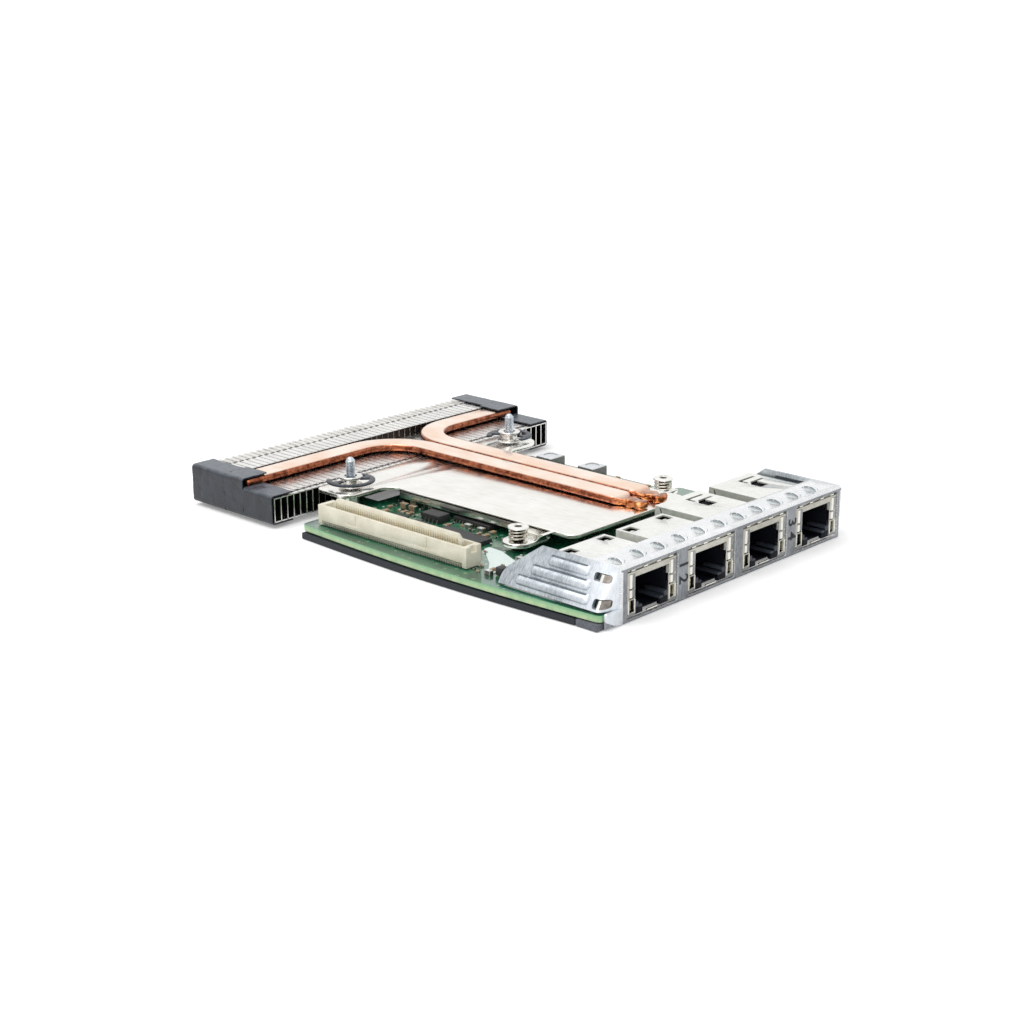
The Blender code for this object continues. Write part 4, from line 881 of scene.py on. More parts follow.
def makeHousing(number, x, depth):
    size = socketSize
    floor, top, front, sheet = size["floor"], size["top"], size["front"], size["sheet"]
    plug, low, high = size["plugHalf"], size["plugFloor"], size["plugTop"]
    latch, key = size["latchHalf"], size["keyHalf"]
    inner = size["half"] - sheet - 0.25
    body = block(x - inner, x + inner, front + sheet + 0.4, depth - size["bodyEnd"],
                 floor + sheet + 0.3, top - sheet - 0.3)
    mouth = block(x - plug + 0.06, x + plug - 0.06, front + 0.25, front + sheet + 0.7, floor + 0.1, high - 0.06)
    carve(body, mouth, operation="UNION")
    tools = [block(x - plug, x + plug, -1, size["plugDepth"] + front, low, high),
             block(x - latch, x + latch, -1, size["latchEnd"], low - 0.8, low + 0.2),
             block(x - key, x + key, -1, size["latchEnd"], 0, low + 0.2)]
    for side in (-1, 1):
        a, b = sorted(x + side * reach for reach in size["lampSlot"])
        tools.append(block(a, b, -1, depth, 0, size["lampHigh"] + 0.2))
    carve(body, united(tools))
    soften(body, 0.12, 2, 40)
    steps = []
    # the steps in painted highlight, paler than the black housing
    for side in (-1, 1):                         # paler keyed steps beside the latch notch
        a, b = sorted((x + side * latch, x + side * plug))
        steps.append(bar(a, b - 0.06, front + 0.2, 6.0, low - 0.6, low + 0.7, 0.15, "housingStepLit", 2))
        a, b = sorted((x + side * key, x + side * latch))
        steps.append(bar(a, b, front + 0.3, 7.0, low - 1.25, low - 0.3, 0.12, "housingStepLit", 2))
    body = joined(*steps, dress(body, "housingBlack"))
    settle(body, "socket_body_%d" % number, "housing_black", ("jack_housing_%d" % number,))


for number, (x, depth) in enumerate(zip(socketSize["centres"], socketSize["depths"]), 1):
    makeShield(number, x, depth)
    makeHousing(number, x, depth)
print("network card: sockets built")

# circuit board
boardSize = {"left": -5.9, "bow": 1.9, "right": 80.2, "wing": 84.0, "wingEnd": 50.0, "front": 1.1, "rear": 100.2,
             "low": 1.8, "high": 3.4, "corner": 1.5, "tabs": (14.2, 74.7), "tabHalf": 6.5, "tabEnd": 108.8,
             "springScrews": (16.4, 72.5), "springY": 46.1, "captiveY": 103.55, "bowSteps": 24,
             "canGap": 9.0, "springHole": 1.5, "captiveHole": 1.65}


def makeBoard():
    size = boardSize
    corners = [(size["left"], size["front"], size["corner"]), (size["wing"], size["front"], 0.3),
               (size["wing"], size["wingEnd"], size["corner"]), (size["right"], size["wingEnd"], 0.3),
               (size["right"], size["rear"], 0.5)]
    for x in reversed(size["tabs"]):
        left, right = x - size["tabHalf"], min(x + size["tabHalf"], size["right"] - 0.6)
        corners += [(right, size["rear"], 0.5), (right, size["tabEnd"], size["corner"]),
                    (left, size["tabEnd"], size["corner"]), (left, size["rear"], size["corner"])]
    corners.append((size["left"], size["rear"], size["corner"]))
    outline = rounded(corners)
    rear, front = size["rear"] - size["corner"], size["front"] + size["corner"]
    for step in range(1, size["bowSteps"]):      # the long left edge bows out a little
        share = step / size["bowSteps"]
        outline.append((size["left"] - size["bow"] * math.sin(math.pi * share), rear + (front - rear) * share))
    board = sheetPlate(outline, size["low"], size["high"])
    tools = [block(x - size["canGap"], x + size["canGap"], -2, depth + 0.3, 0, 5)
             for x, depth in zip(socketSize["centres"], socketSize["depths"])]
    tools += [sheetPlate(disc(x, size["springY"], size["springHole"]), 0, 5) for x in size["springScrews"]]
    tools += [sheetPlate(disc(x, size["captiveY"], size["captiveHole"]), 0, 5) for x in size["tabs"]]
    carve(board, *tools)
    soften(board, 0.08, 1, 40)
    settle(board, "card_board", "board_green", ("circuit_board",))


makeBoard()
print("network card: board cut")


# small parts on the board
def chip(x, y, wide, deep, tall, pins=0):
    base = boardSize["high"] + 0.05
    low, middle = base + 0.1, base + 0.1 + tall * 0.5
    body = soften(block(x - wide / 2, x + wide / 2, y - deep / 2, y + deep / 2, low, low + tall), 0.14, 2)
    dress(body, "chipBlack", "leadTin")
    if not pins:
        return body
    pitch = (deep - 0.8) / (pins - 1)
    legs = []
    for side in (-1, 1):
        edge = x + side * wide / 2
        bent = [(-0.2, middle), (0.3, middle), (0.45, base + 0.12), (0.8, base + 0.12), (0.8, base), (0.35, base),
                (0.22, base + tall * 0.42), (-0.2, base + tall * 0.42)]
        for k in range(pins):
            y0 = y - deep / 2 + 0.4 + k * pitch - 0.11
            leg = sheetPlate([(edge + side * out, level) for out, level in bent], y0, y0 + 0.22, "XZ")
            legs.append(dress(leg, "leadTin"))
    return joined(*legs, body)


def smallPart(wide, deep, tall, finish):
    # body with two bright ends, lying along x, drawn about the origin
    base = boardSize["high"] + 0.02
    body = bar(-wide * 0.31, wide * 0.31, -deep / 2, deep / 2, base, base + tall, 0.05, finish)
    ends = []
    for side in (-1, 1):
        a, b = sorted((side * wide * 0.3, side * wide / 2))
        ends.append(bar(a, b, -deep / 2 - 0.02, deep / 2 + 0.02, base, base + tall + 0.02, 0.06, "leadTin"))
    return joined(*ends, body)


def turnQuarter(piece):
    pick(piece)
    bpy.ops.object.mode_set(mode="EDIT")
    bpy.ops.mesh.select_all(action="SELECT")
    bpy.ops.transform.rotate(value=math.pi / 2, orient_axis="Z", center_override=(0, 0, 0))
    bpy.ops.object.mode_set(mode="OBJECT")
    return piece


# each zone as x0, x1, y0, y1 and how many parts it gets
partZones = [(4.5, 21.0, 50.0, 96.0, 150), (67.8, 79.0, 53.0, 97.0, 70), (5.0, 70.0, 28.6, 32.6, 40),
             (3.0, 20.0, 24.0, 41.0, 36), (-4.4, 1.6, 38.5, 43.4, 8), (22.5, 26.5, 85.0, 96.0, 10)]
keptClear = [(10.5, 20.8, 40.5, 51.5), (68.5, 78.0, 41, 51), (2.0, 20.9, 0, 22.9), (15.6, 22.6, 73.4, 81.2),
             (21.0, 28.4, 60.0, 74.4), (71.2, 78.3, 69, 91.4), (6.5, 21.5, 96.6, 110), (67, 81, 96.6, 110),
             (4.6, 16.2, 53.4, 70.2), (2.0, 9.4, 72.5, 84.4), (19.0, 22.0, 84.8, 92.0), (23.5, 26.0, 89.0, 92.0)]


def makeBoardParts():
    kinds = [smallPart(1.6, 0.8, 0.7, "capacitorTan"), smallPart(1.0, 0.5, 0.35, "chipBlack"),
             smallPart(2.0, 1.25, 0.6, "capacitorTan"), turnQuarter(smallPart(1.6, 0.8, 0.45, "chipBlack")),
             turnQuarter(smallPart(1.0, 0.5, 0.5, "capacitorTan")), turnQuarter(smallPart(2.0, 1.2, 1.1, "powderCore"))]
    taken, made = [], []
    for x0, x1, y0, y1, wanted in partZones:
        placed, tries = 0, wanted * 4
        while placed < wanted and tries:
            tries -= 1
            x = round(seededRandom.uniform(x0, x1) * 2) / 2
            y = round(seededRandom.uniform(y0, y1) * 2) / 2
            blocked = any(a - 1 < x < b + 1 and c - 1 < y < d + 1 for a, b, c, d in keptClear)
            blocked = blocked or any(abs(x - p) < 2.1 and abs(y - q) < 1.9 for p, q in taken)
            if blocked:
                continue
            taken.append((x, y))
            kind = kinds[seededRandom.choice((0, 1, 1, 2, 3, 3, 4, 4, 5))]
            made += copyTo(kind, [(x, y, 0)], keep=True)
            placed += 1
    for kind in kinds:
        bpy.data.objects.remove(kind, do_unlink=True)
    chips = [(10.4, 61.8, 10.4, 15.4, 1.0, 26), (5.7, 78.4, 5.2, 9.6, 1.1, 12), (12.6, 84.6, 4.4, 4.4, 0.9),
             (12.4, 76.4, 3.6, 5.0, 1.0, 6), (10.0, 31.4, 4.2, 5.2, 1.1, 7), (16.0, 35.6, 5.0, 4.0, 1.0),
             (32.0, 30.6, 6.0, 3.0, 1.0)]
    settle(joined(*[chip(*row) for row in chips], *made), "board_parts", "chip_black")


makeBoardParts()


def makeNamedParts():
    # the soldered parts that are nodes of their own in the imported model
    for name in ("line_transformer", "regulator_chip", "corner_block", "chip_capacitor_1", "chip_capacitor_2",
                 "chip_capacitor_3", "choke_rear", "choke_front"):
        low, high = ((corner - cardOrigin) * 1000 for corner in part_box(name))
        x, y = (low.x + high.x) / 2, (low.y + high.y) / 2
        wide, deep, tall = high - low
        if name.startswith("chip_capacitor"):
            piece = turnQuarter(smallPart(deep, wide, tall - 0.1, "capacitorTan"))
            pick(piece)
            piece.location = (x, y, 0.25)
            bpy.ops.object.transform_apply(location=True, rotation=True, scale=True)
            slotName = "capacitor_tan"
        elif name.startswith("choke"):
            base = low.z
            core = soften(block(low.x, high.x, low.y, high.y, base, base + tall), 0.45, 3)
            carve(core, sheetPlate(disc(x, y, 1.9), base + tall - 0.15, base + tall + 1))
            feet = [dress(block(low.x + 0.4, low.x + 1.6, side - 0.5, side + 0.5, base - 0.28, base + 0.4), "leadTin")
                    for side in (low.y + 0.7, high.y - 0.7)]
            piece = joined(*feet, dress(core, "powderCore"))
            slotName = "choke_grey"
        else:
            pins = {"line_transformer": 12, "regulator_chip": 5, "corner_block": 0}[name]
            inset = 0.8 if pins else 0
            piece = chip(x, y, wide - 2 * inset, deep, tall - 0.05, pins=pins)
            slotName = "chip_black"
        settle(piece, "fitted_" + name, slotName, (name,))


makeNamedParts()
print("network card: board parts placed")

# board connector
connectorSize = {"left": -3.4, "right": 1.7, "front": 44.4, "rear": 96.6, "foot": 3.7, "rim": 8.8, "wall": 0.75,
                 "endWall": 1.6, "floor": 4.9, "tongueLeft": -1.4, "tongueRight": -0.3, "tongueTop": 10.8,
                 "grooves": (13.0, 38.0), "contacts": 54, "pitch": 0.8, "firstContact": 4.9}


def makeConnector():
    size = connectorSize
    left, right, front, rear = size["left"], size["right"], size["front"], size["rear"]
    body = block(left, right, front, rear, size["foot"], size["rim"])
    cavity = block(left + size["wall"], right - size["wall"], front + size["endWall"], rear - size["endWall"],
                   size["floor"], size["rim"] + 1)
    carve(body, cavity)
    foot, rim = size["foot"], size["rim"]
    carve(body, block(left - 1, left + 0.35, front + 1.4, rear - 1.4, foot - 1, foot + 1.15))
    carve(body, block(right - 0.35, right + 1, front + 1.4, rear - 1.4, foot - 1, foot + 1.15))
    carve(body, block(left + 1.6, right - 1.6, front - 1, front + 0.7, rim - 1.6, rim + 1))
    for along in size["grooves"]:                # L shaped grooves in the outer face
        y = front + along
        carve(body, block(left - 1, left + 0.25, y, y + 0.5, foot + 2.0, rim + 1))
        carve(body, block(left - 1, left + 0.25, y, y + 3.2, foot + 2.0, foot + 2.5))
    soften(body, 0.14, 2, 40)
    side = [(front + 3.5, size["floor"] - 0.5), (rear - 3.5, size["floor"] - 0.5), (rear - 3.5, size["rim"] + 0.6),
            (rear - 4.9, size["tongueTop"]), (front + 5.0, size["tongueTop"]), (front + 3.5, size["rim"] + 0.4)]
    tongue = soften(sheetPlate(side, size["tongueLeft"], size["tongueRight"], "YZ"), 0.16, 2, 30)
    body = joined(dress(tongue, "connectorIvory"), dress(body, "connectorIvory"))
    contact = dress(block(size["tongueLeft"] - 0.06, size["tongueRight"] + 0.06, -0.16, 0.16, size["floor"] - 0.2,
                          size["tongueTop"] - 0.9), "contactDull")
    places = [(0, front + size["firstContact"] + size["pitch"] * k, 0) for k in range(size["contacts"])]
    body = joined(*copyTo(contact, places), body)
    settle(body, "raised_connector", "connector_ivory", ("board_connector",))


makeConnector()
print("network card: connector moulded")

# cooler plate
plateSize = {"left": 22.2, "right": 66.7, "front": 33.4, "rear": 110.0, "top": 8.0, "under": 7.0, "sheet": 1.0,
             "wallLow": 5.3, "wallFront": 41.5, "wallRear": 93.8, "earLeft": 7.45, "earRight": 81.45, "earFront": 97.8,
             "screwEarTop": 5.8, "screwEarLow": 4.6, "screwEar": 3.9, "sleeveHole": 2.4, "earSteps": 16}


def makePlate():
    size = plateSize
    corners = [(size["left"], size["front"], 3.0), (size["right"], size["front"], 3.0),
               (size["right"], size["earFront"], 4.0), (size["earRight"], size["earFront"], 4.0),
               (size["earRight"], size["rear"], 2.0), (size["earLeft"], size["rear"], 2.0),
               (size["earLeft"], size["earFront"], 4.0), (size["left"], size["earFront"], 4.0)]
    plate = sheetPlate(rounded(corners, 8), size["under"], size["top"])
    carve(plate, *[sheetPlate(disc(x, boardSize["captiveY"], size["sleeveHole"]), 5, 10) for x in boardSize["tabs"]])
    soften(plate, 0.22, 3, 40)
    parts = []
    for x, side in ((size["left"], -1), (size["right"], 1)):
        a, b = sorted((x, x - side * size["sheet"]))
        wall = block(a, b, size["wallFront"], size["wallRear"], size["wallLow"], size["top"] - 0.12)
        parts.append(soften(wall, 0.3, 3, 40))
    for x, side in zip(boardSize["springScrews"], (-1, 1)):
        wall = size["left"] + 0.9 if side < 0 else size["right"] - 0.9
        y, reach = boardSize["springY"], size["screwEar"]
        outline = []
        for step in range(size["earSteps"] + 1):  # a round ear on two straight sides
            angle = math.radians(-90 + 180 * step / size["earSteps"])
            outline.append((x + side * reach * math.cos(angle), y + reach * math.sin(angle)))
        outline = [(wall, y - reach)] + outline + [(wall, y + reach)]
        ear = sheetPlate(outline, size["screwEarLow"], size["screwEarTop"])
        carve(ear, sheetPlate(disc(x, y, boardSize["springHole"]), 3, 8))
        parts.append(soften(ear, 0.25, 3, 40))
        front = size["wallFront"]
        ramp = [(front + 1.3, size["screwEarLow"] + 0.1), (front + 1.3, size["screwEarTop"] - 0.05),
                (front - 0.9, size["top"] - 0.08), (front - 2.2, size["top"] - 0.08),
                (front - 1.0, size["under"] + 0.1)]
        a, b = sorted((wall, wall + side * (reach + 1.0)))
        parts.append(soften(sheetPlate(ramp, a, b, "YZ"), 0.2, 2, 30))
    settle(dress(joined(*parts, plate), "plateNickel"), "pressed_plate", "plate_nickel", ("cooler_plate",))


makePlate()

# heat pipes
pipeSize = {"width": 7.2, "thick": 2.2, "low": 8.3, "bend": 13.7, "run": 125.8, "front": 34.2, "crimp": 9.0,
            "crimpWide": 4.2, "lump": 0.9, "drop": 0.3, "endGap": 1.6}
# the pinched tip: distance from the front, then the width's and the height's share
crimpStations = [(0, 0.30, 0.4), (0.25, 0.6, 0.62), (0.7, 0.82, 0.76), (1.3, 0.92, 0.82), (2.0, 0.9, 0.8),
                 (2.8, 0.8, 0.72), (3.6, 0.86, 0.78), (4.4, 0.98, 0.84), (5.2, 0.96, 0.78), (6.0, 1.04, 0.74),
                 (6.8, 1.24, 0.78), (7.6, 1.5, 0.88), (8.3, 1.66, 0.97),
                 (pipeSize["crimp"], pipeSize["width"] / pipeSize["crimpWide"], 1.0)]


def pipeSection(centre, level, wide, thick, steps=8):
    points = []
    r = thick / 2
    for side in (1, -1):
        for step in range(steps + 1):
            angle = side * (math.pi / 2 - math.pi * step / steps)
            points.append((centre + side * (wide / 2 - r) + side * r * math.cos(angle), level + r * math.sin(angle)))
    return points


def makePipe(name, node, x, turn, endX):
    # extruded along its run, spun round the bend and drawn out over the fins
    size = pipeSize
    level = size["low"] + size["thick"] / 2
    crimpShare = size["crimpWide"] / size["width"]
    section = pipeSection(x, level, size["width"], size["thick"])
    pipe = sheetPlate(section, size["front"], size["front"] + 0.25, "XZ")
    pick(pipe)
    bpy.ops.object.mode_set(mode="EDIT")
    bpy.ops.mesh.select_mode(type="FACE")
    bpy.ops.mesh.select_all(action="DESELECT")
    bpy.ops.object.mode_set(mode="OBJECT")
    for vert in pipe.data.vertices:              # the pinched tip
        wide, tall = (crimpStations[0][1:] if vert.co.y < size["front"] + 0.1 else crimpStations[1][1:])
        vert.co.x = x + (vert.co.x - x) * wide * crimpShare
        vert.co.z = level + (vert.co.z - level) * tall
    for face in pipe.data.polygons:
        face.select = face.center.y > size["front"] + 0.2
    bpy.ops.object.mode_set(mode="EDIT")
    before, beforeWide, beforeTall = crimpStations[1]
    for along, wide, tall in crimpStations[2:]:
        y = size["front"] + along
        bpy.ops.mesh.extrude_region_move(TRANSFORM_OT_translate={"value": (0, along - before, 0)})
        bpy.ops.transform.resize(value=(wide / beforeWide, 1, tall / beforeTall), center_override=(x, y, level))
        before, beforeWide, beforeTall = along, wide, tall
    bendStart = size["run"] - size["bend"]
    crimpEnd = size["front"] + size["crimp"]
    for share in (0.25, 0.5, 0.75, 1.0):
        along = crimpEnd + (bendStart - crimpEnd) * share - size["front"]
        bpy.ops.mesh.extrude_region_move(TRANSFORM_OT_translate={"value": (0, along - before, 0)})
        before = along
    middle = x + turn * size["bend"]
    bpy.ops.mesh.spin(steps=24, angle=turn * math.pi / 2, center=(middle, bendStart, level), axis=(0, 0, 1))
    straight = endX - turn * size["endGap"] - middle
    bpy.ops.mesh.extrude_region_move(TRANSFORM_OT_translate={"value": (straight, 0, 0)})
    previous = 1.0
    for step, wide in ((0.8, 0.93), (0.5, 0.78), (0.3, 0.5)):  # the closed end, drawn in
        bpy.ops.mesh.extrude_region_move(TRANSFORM_OT_translate={"value": (turn * step, 0, 0)})
        bpy.ops.transform.resize(value=(1, wide / previous, 0.5 + 0.5 * wide / previous),
                                 center_override=(endX, size["run"], level))
        previous = wide
    tidyNormals()
    bpy.ops.object.mode_set(mode="OBJECT")
    for vert in pipe.data.vertices:              # hammered lumps along the pinched tip
        along = vert.co.y - size["front"]
        if along < size["crimp"] - 0.5:
            strength = size["lump"] * min(1, (size["crimp"] - along) / 3)
            vert.co.z -= size["drop"] * min(1, (size["crimp"] - 0.5 - along) / 1.6)
            push = Vector((vert.co.x - x, 0, vert.co.z - level)).normalized()
            dent = noise.noise(Vector((vert.co.x * 0.7, vert.co.y * 0.75, vert.co.z * 0.9 + turn * 5)))
            vert.co += push * dent * strength
    dress(pipe, "pipeCopper")
    settle(pipe, name, "pipe_copper", (node,), angle=60)


makePipe("flat_pipe_left", "heat_pipe_left", 50.75, -1, -4.9)
makePipe("flat_pipe_right", "heat_pipe_right", 58.25, 1, 96.5)
print("network card: plate and pipes formed")

# folded fins
finSize = {"left": -6.3, "right": 97.9, "front": 110.3, "step": 129.7, "roofEnd": 137.3, "rear": 143.3, "low": 1.5,
           "lowTop": 8.0, "top": 10.5, "count": 49, "sheet": 0.3, "fold": 0.28, "seam": 0.09, "sunk": 0.3}


def makeFins():
    size = finSize
    pitch = (size["right"] - size["left"] - size["sheet"]) / (size["count"] - 1)
    side = [(size["front"], size["low"]), (size["rear"], size["low"]), (size["rear"], size["top"] - 0.1),
            (size["rear"] - 0.3, size["top"]), (size["step"], size["top"]), (size["step"], size["lowTop"]),
            (size["front"], size["lowTop"])]
    fold, sheet, front, rear = size["fold"], size["sheet"], size["front"], size["rear"]
    reach = pitch - size["seam"]
    lowOutline = [side[0], (size["step"] + 0.05, size["low"]), side[5], side[6]]
    lowSide = dress(sheetPlate(lowOutline, 0, sheet, "YZ"), "finSilver")
    tone(lowSide, "finShadow", lambda centre, normal: abs(normal.x) > 0.9)
    rearSide = dress(sheetPlate([(size["step"], size["low"]), *side[1:6]], 0, sheet, "YZ"), "finSilver")

    def strip(x1, y0, y1, z0, z1, finish="finSilver"):
        # folded over from this fin towards the next one
        return dress(block(sheet * 0.5, x1, y0, y1, z0, z1), finish)
    fin = [lowSide, rearSide]
    for y0, y1, top in ((front, front + 1.3, size["lowTop"]), (front + 1.9, size["step"], size["lowTop"]),
                        (size["step"], size["roofEnd"], size["top"]),
                        (size["roofEnd"], rear - 0.5, size["top"] - size["sunk"])):
        fin.append(strip(reach, y0, y1, top - fold, top))
    for y0, y1, top in ((front + 1.2, front + 2.5, size["lowTop"] + 0.01),
                        (size["roofEnd"] - 0.35, size["roofEnd"] + 0.45, size["top"] + 0.01)):
        fin.append(strip(reach - 0.5, y0, y1, top - fold, top, "finShadow"))
    fin.append(strip(reach, front, rear, size["low"], size["low"] + fold))
    step = strip(reach, size["step"] - 0.25, size["step"] + 0.1, size["lowTop"] - fold, size["top"])
    fin.append(tone(step, "finShadow", lambda centre, normal: normal.y < -0.5))
    fins = copyTo(joined(*fin), [(size["left"] + pitch * k, 0, 0) for k in range(size["count"] - 1)])
    last = dress(sheetPlate(side, size["right"] - sheet, size["right"], "YZ"), "finSilver")
    stack = joined(*fins, last)
    settle(stack, "folded_fins", "fin_silver", ("fin_stack",))


makeFins()

# tape round the fin ends
tapeSize = {"thick": 0.35, "flap": 7.0, "extra": 1.2, "split": 122.1, "lowTop": 8.3, "highTop": 10.8, "floor": 1.02,
            "bend": 0.8, "wrinkle": 0.2, "gap": 0.48}


def foldedTape(side, y0, y1, top, flap, seed):
    # one sheet up round the end: lower flap, bend, upright, bend, upper flap
    size = tapeSize
    end = finSize["left"] - size["gap"] if side < 0 else finSize["right"] + size["gap"]
    mid = top + size["thick"] / 2
    floor, bend = size["floor"], size["bend"]
    length = [flap - bend, math.pi / 2 * bend, mid - floor - 2 * bend, math.pi / 2 * bend, flap - bend]
    total = sum(length)

    def where(u, v):
        s = u * total
        y = y0 + (y1 - y0) * v
        if s < length[0]:
            x, z = end - side * (bend + length[0] - s), floor
        elif s < sum(length[:2]):
            angle = (s - length[0]) / bend
            x, z = end - side * bend + side * bend * math.sin(angle), floor + bend - bend * math.cos(angle)
        elif s < sum(length[:3]):
            x, z = end, floor + bend + s - sum(length[:2])
        elif s < sum(length[:4]):
            angle = (s - sum(length[:3])) / bend
            x, z = end - side * bend + side * bend * math.cos(angle), mid - bend + bend * math.sin(angle)
        else:
            x, z = end - side * (bend + s - sum(length[:4])), mid
        ripple = noise.noise(Vector((x * 0.5, y * 0.35, z * 0.5 + seed))) * size["wrinkle"]
        crease = noise.noise(Vector((x * 1.6, y * 1.3, z * 1.6 + seed))) * size["wrinkle"] * 0.35
        inside = max(0, ripple + crease)
        x -= side * inside if abs(x - end) < bend else 0
        z -= inside * 0.6 if z > mid - bend else 0
        if s > total - 0.4:
            x += side * noise.noise(Vector((0, y * 0.5, seed))) * 0.25
        return (x, y, z)
    return curvedSheet(max(12, int((y1 - y0) * 2)), 84, where, size["thick"])


def makeTape(side, name, node):
    size = tapeSize
    front = foldedTape(side, finSize["front"] + 0.35, size["split"] + 0.2, size["lowTop"], size["flap"], 1.5)
    middle = foldedTape(side, size["split"] + 0.1, finSize["step"] + 0.2, size["highTop"],
                        size["flap"] + size["extra"], 4.5)
    rear = foldedTape(side, finSize["step"], finSize["rear"] - 0.35, size["highTop"], size["flap"], 7.5)
    tape = dress(joined(front, middle, rear), "tapeSlate")
    settle(tape, name, "tape_black", (node,), angle=50)


makeTape(-1, "fin_tape_left", "end_tape_left")
makeTape(1, "fin_tape_right", "end_tape_right")
print("network card: fins folded and taped")

# cooler screws and their springs
springScrewSize = {"head": 2.65, "top": 9.4, "headLow": 8.85, "shank": 1.2, "collar": 1.75, "socket": 1.05,
                   "coil": 2.16, "wire": 0.25, "coilLow": 6.1, "coilHigh": 8.56, "turns": 3}


def makeSpringScrew(side, x):
    size = springScrewSize
    y = boardSize["springY"]
    collar, shank, head, headLow, top = (size[part] for part in ("collar", "shank", "head", "headLow", "top"))
    profile = [(0.75, 0.6), (1.55, 0.75), (collar, 1.0), (collar, 1.5), (shank, 1.55), (shank, headLow - 0.3),
               (1.7, headLow - 0.26), (1.7, headLow), (head, headLow + 0.02), (head, top - 0.3),
               (head - 0.12, top - 0.1), (head - 0.4, top)]
    screw = turnedPiece(x, y, profile)
    carve(screw, sheetPlate(disc(x, y, size["socket"], 6), top - 0.7, top + 1))
    carve(screw, sheetPlate(disc(x, y, size["socket"] + 0.25, 24), top - 0.15, top + 1))
    dress(screw, "plateNickel")
    tone(screw, "shankDark", lambda centre, normal: centre.z < headLow - 0.1)
    settle(screw, "cooler_screw_" + side, "screw_zinc", ("spring_screw_" + side,), angle=35)
    section = [(size["coil"] + size["wire"] * math.cos(math.tau * k / 10), size["wire"] * math.sin(math.tau * k / 10))
               for k in range(10)]
    rise = (size["coilHigh"] - size["coilLow"]) / size["turns"]
    coil = coiled(x, y, size["coilLow"], section, rise, size["turns"], 28)
    settle(coil, "cooler_spring_" + side, "spring_steel", ("coil_spring_" + side,), angle=60)


# captive mounting screws
captiveSize = {"thread": 1.25, "tip": 16.2, "headLow": 0.2, "head": 3.1, "pitch": 0.45, "sleeveTop": 11.2,
               "clipOuter": 6.4, "clipInner": 4.9, "clipLow": 9.65, "clipHigh": 10.15, "opening": 110, "clipSteps": 40,
               "teeth": (5, 6, 7, 8, 32, 33, 34, 35), "toothReach": 2.45, "threadLow": 8.6}


def makeMountingScrew(side, x, body):
    size = captiveSize
    y = boardSize["captiveY"]
    core = size["thread"] - 0.2
    profile = [(size["head"] - 0.3, size["headLow"]), (size["head"], size["headLow"] + 0.3), (size["head"], 1.2),
               (size["head"] - 0.3, 1.4), (core, 1.45), (core, size["tip"] - 0.9), (core * 0.86, size["tip"] - 0.45),
               (core * 0.55, size["tip"] - 0.1), (core * 0.25, size["tip"])]
    screw = turnedPiece(x, y, profile)
    for wide, deep in ((1.6, 0.4), (0.4, 1.6)):  # the cross for the driver
        carve(screw, block(x - wide, x + wide, y - deep, y + deep, -1, 0.9))
    ridge = [(core - 0.05, -0.2), (size["thread"], -0.04), (size["thread"], 0.04), (core - 0.05, 0.2)]
    turns = int((size["tip"] - 0.7 - 8.5) / size["pitch"])
    thread = coiled(x, y, size["threadLow"], ridge, size["pitch"], turns, 26)
    settle(joined(thread, screw), "mounting_screw_" + side, "screw_zinc", ("captive_screw_" + side,), body, 35)


def makeSleeve(side, x):
    # the flanged sleeve above the plate and the post under it
    size = captiveSize
    y = boardSize["captiveY"]
    hole = boardSize["captiveHole"]
    neckTop = size["sleeveTop"] - 0.6
    sleeve = turnedPiece(x, y, [(3.1, 8.3), (3.3, 8.42), (3.3, 8.72), (3.12, 8.85), (2.1, 8.9), (2.1, neckTop - 0.4),
                                (2.95, neckTop - 0.05), (3.1, neckTop + 0.08), (3.1, size["sleeveTop"] - 0.12),
                                (2.95, size["sleeveTop"])])
    carve(sleeve, sheetPlate(disc(x, y, hole, 40), 7, 12))
    settle(sleeve, "screw_sleeve_" + side, "sleeve_nickel", ("captive_sleeve_" + side,), angle=35)
    post = turnedPiece(x, y, [(2.0, 3.7), (2.2, 3.85), (2.2, 6.5), (2.05, 6.7)])
    carve(post, sheetPlate(disc(x, y, hole, 40), 3, 8))
    settle(post, "screw_post_" + side, "sleeve_nickel", ("standoff_post_" + side,), angle=35)


def makeClip(side, x, turnDegrees):
    # an open ring, with two teeth that reach in to the sleeve's neck
    size = captiveSize
    y, steps = boardSize["captiveY"], size["clipSteps"]
    start = math.radians(turnDegrees + size["opening"] / 2)
    sweep = math.radians(360 - size["opening"])
    rim = [(step, size["clipOuter"]) for step in range(steps + 1)]
    rim += [(step, size["toothReach"] if step in size["teeth"] else size["clipInner"]) for step in range(steps, -1, -1)]
    outline = []
    for step, radius in rim:
        angle = start + sweep * step / steps
        outline.append((x + radius * math.cos(angle), y + radius * math.sin(angle)))
    clip = soften(sheetPlate(outline, size["clipLow"], size["clipHigh"]), 0.14, 2, 40)
    settle(clip, "screw_clip_" + side, "clip_black", ("retaining_clip_" + side,), angle=35)


for side, x in zip(("left", "right"), boardSize["springScrews"]):
    makeSpringScrew(side, x)
for side, x, turnDegrees in zip(("left", "right"), boardSize["tabs"], (75, 200)):
    makeMountingScrew(side, x, side + "_captive_screw")
    makeSleeve(side, x)
    makeClip(side, x, turnDegrees)
print("network card: screws, springs and clips made")

# port numbers and printed marks
printSize = {"digit": 4.5, "film": 0.03, "bold": 0.1, "level": 6.9, "posts": (("1 2", 22.25), ("3 4", 65.1)),
             "patch": ((-2.6, 38.2), (2.4, 38.4), (8.6, 38.8), (12.4, 47.6), (12.8, 52.4), (10.8, 52.2), (4.0, 44.0)),
             "dots": 90, "dot": 0.3}


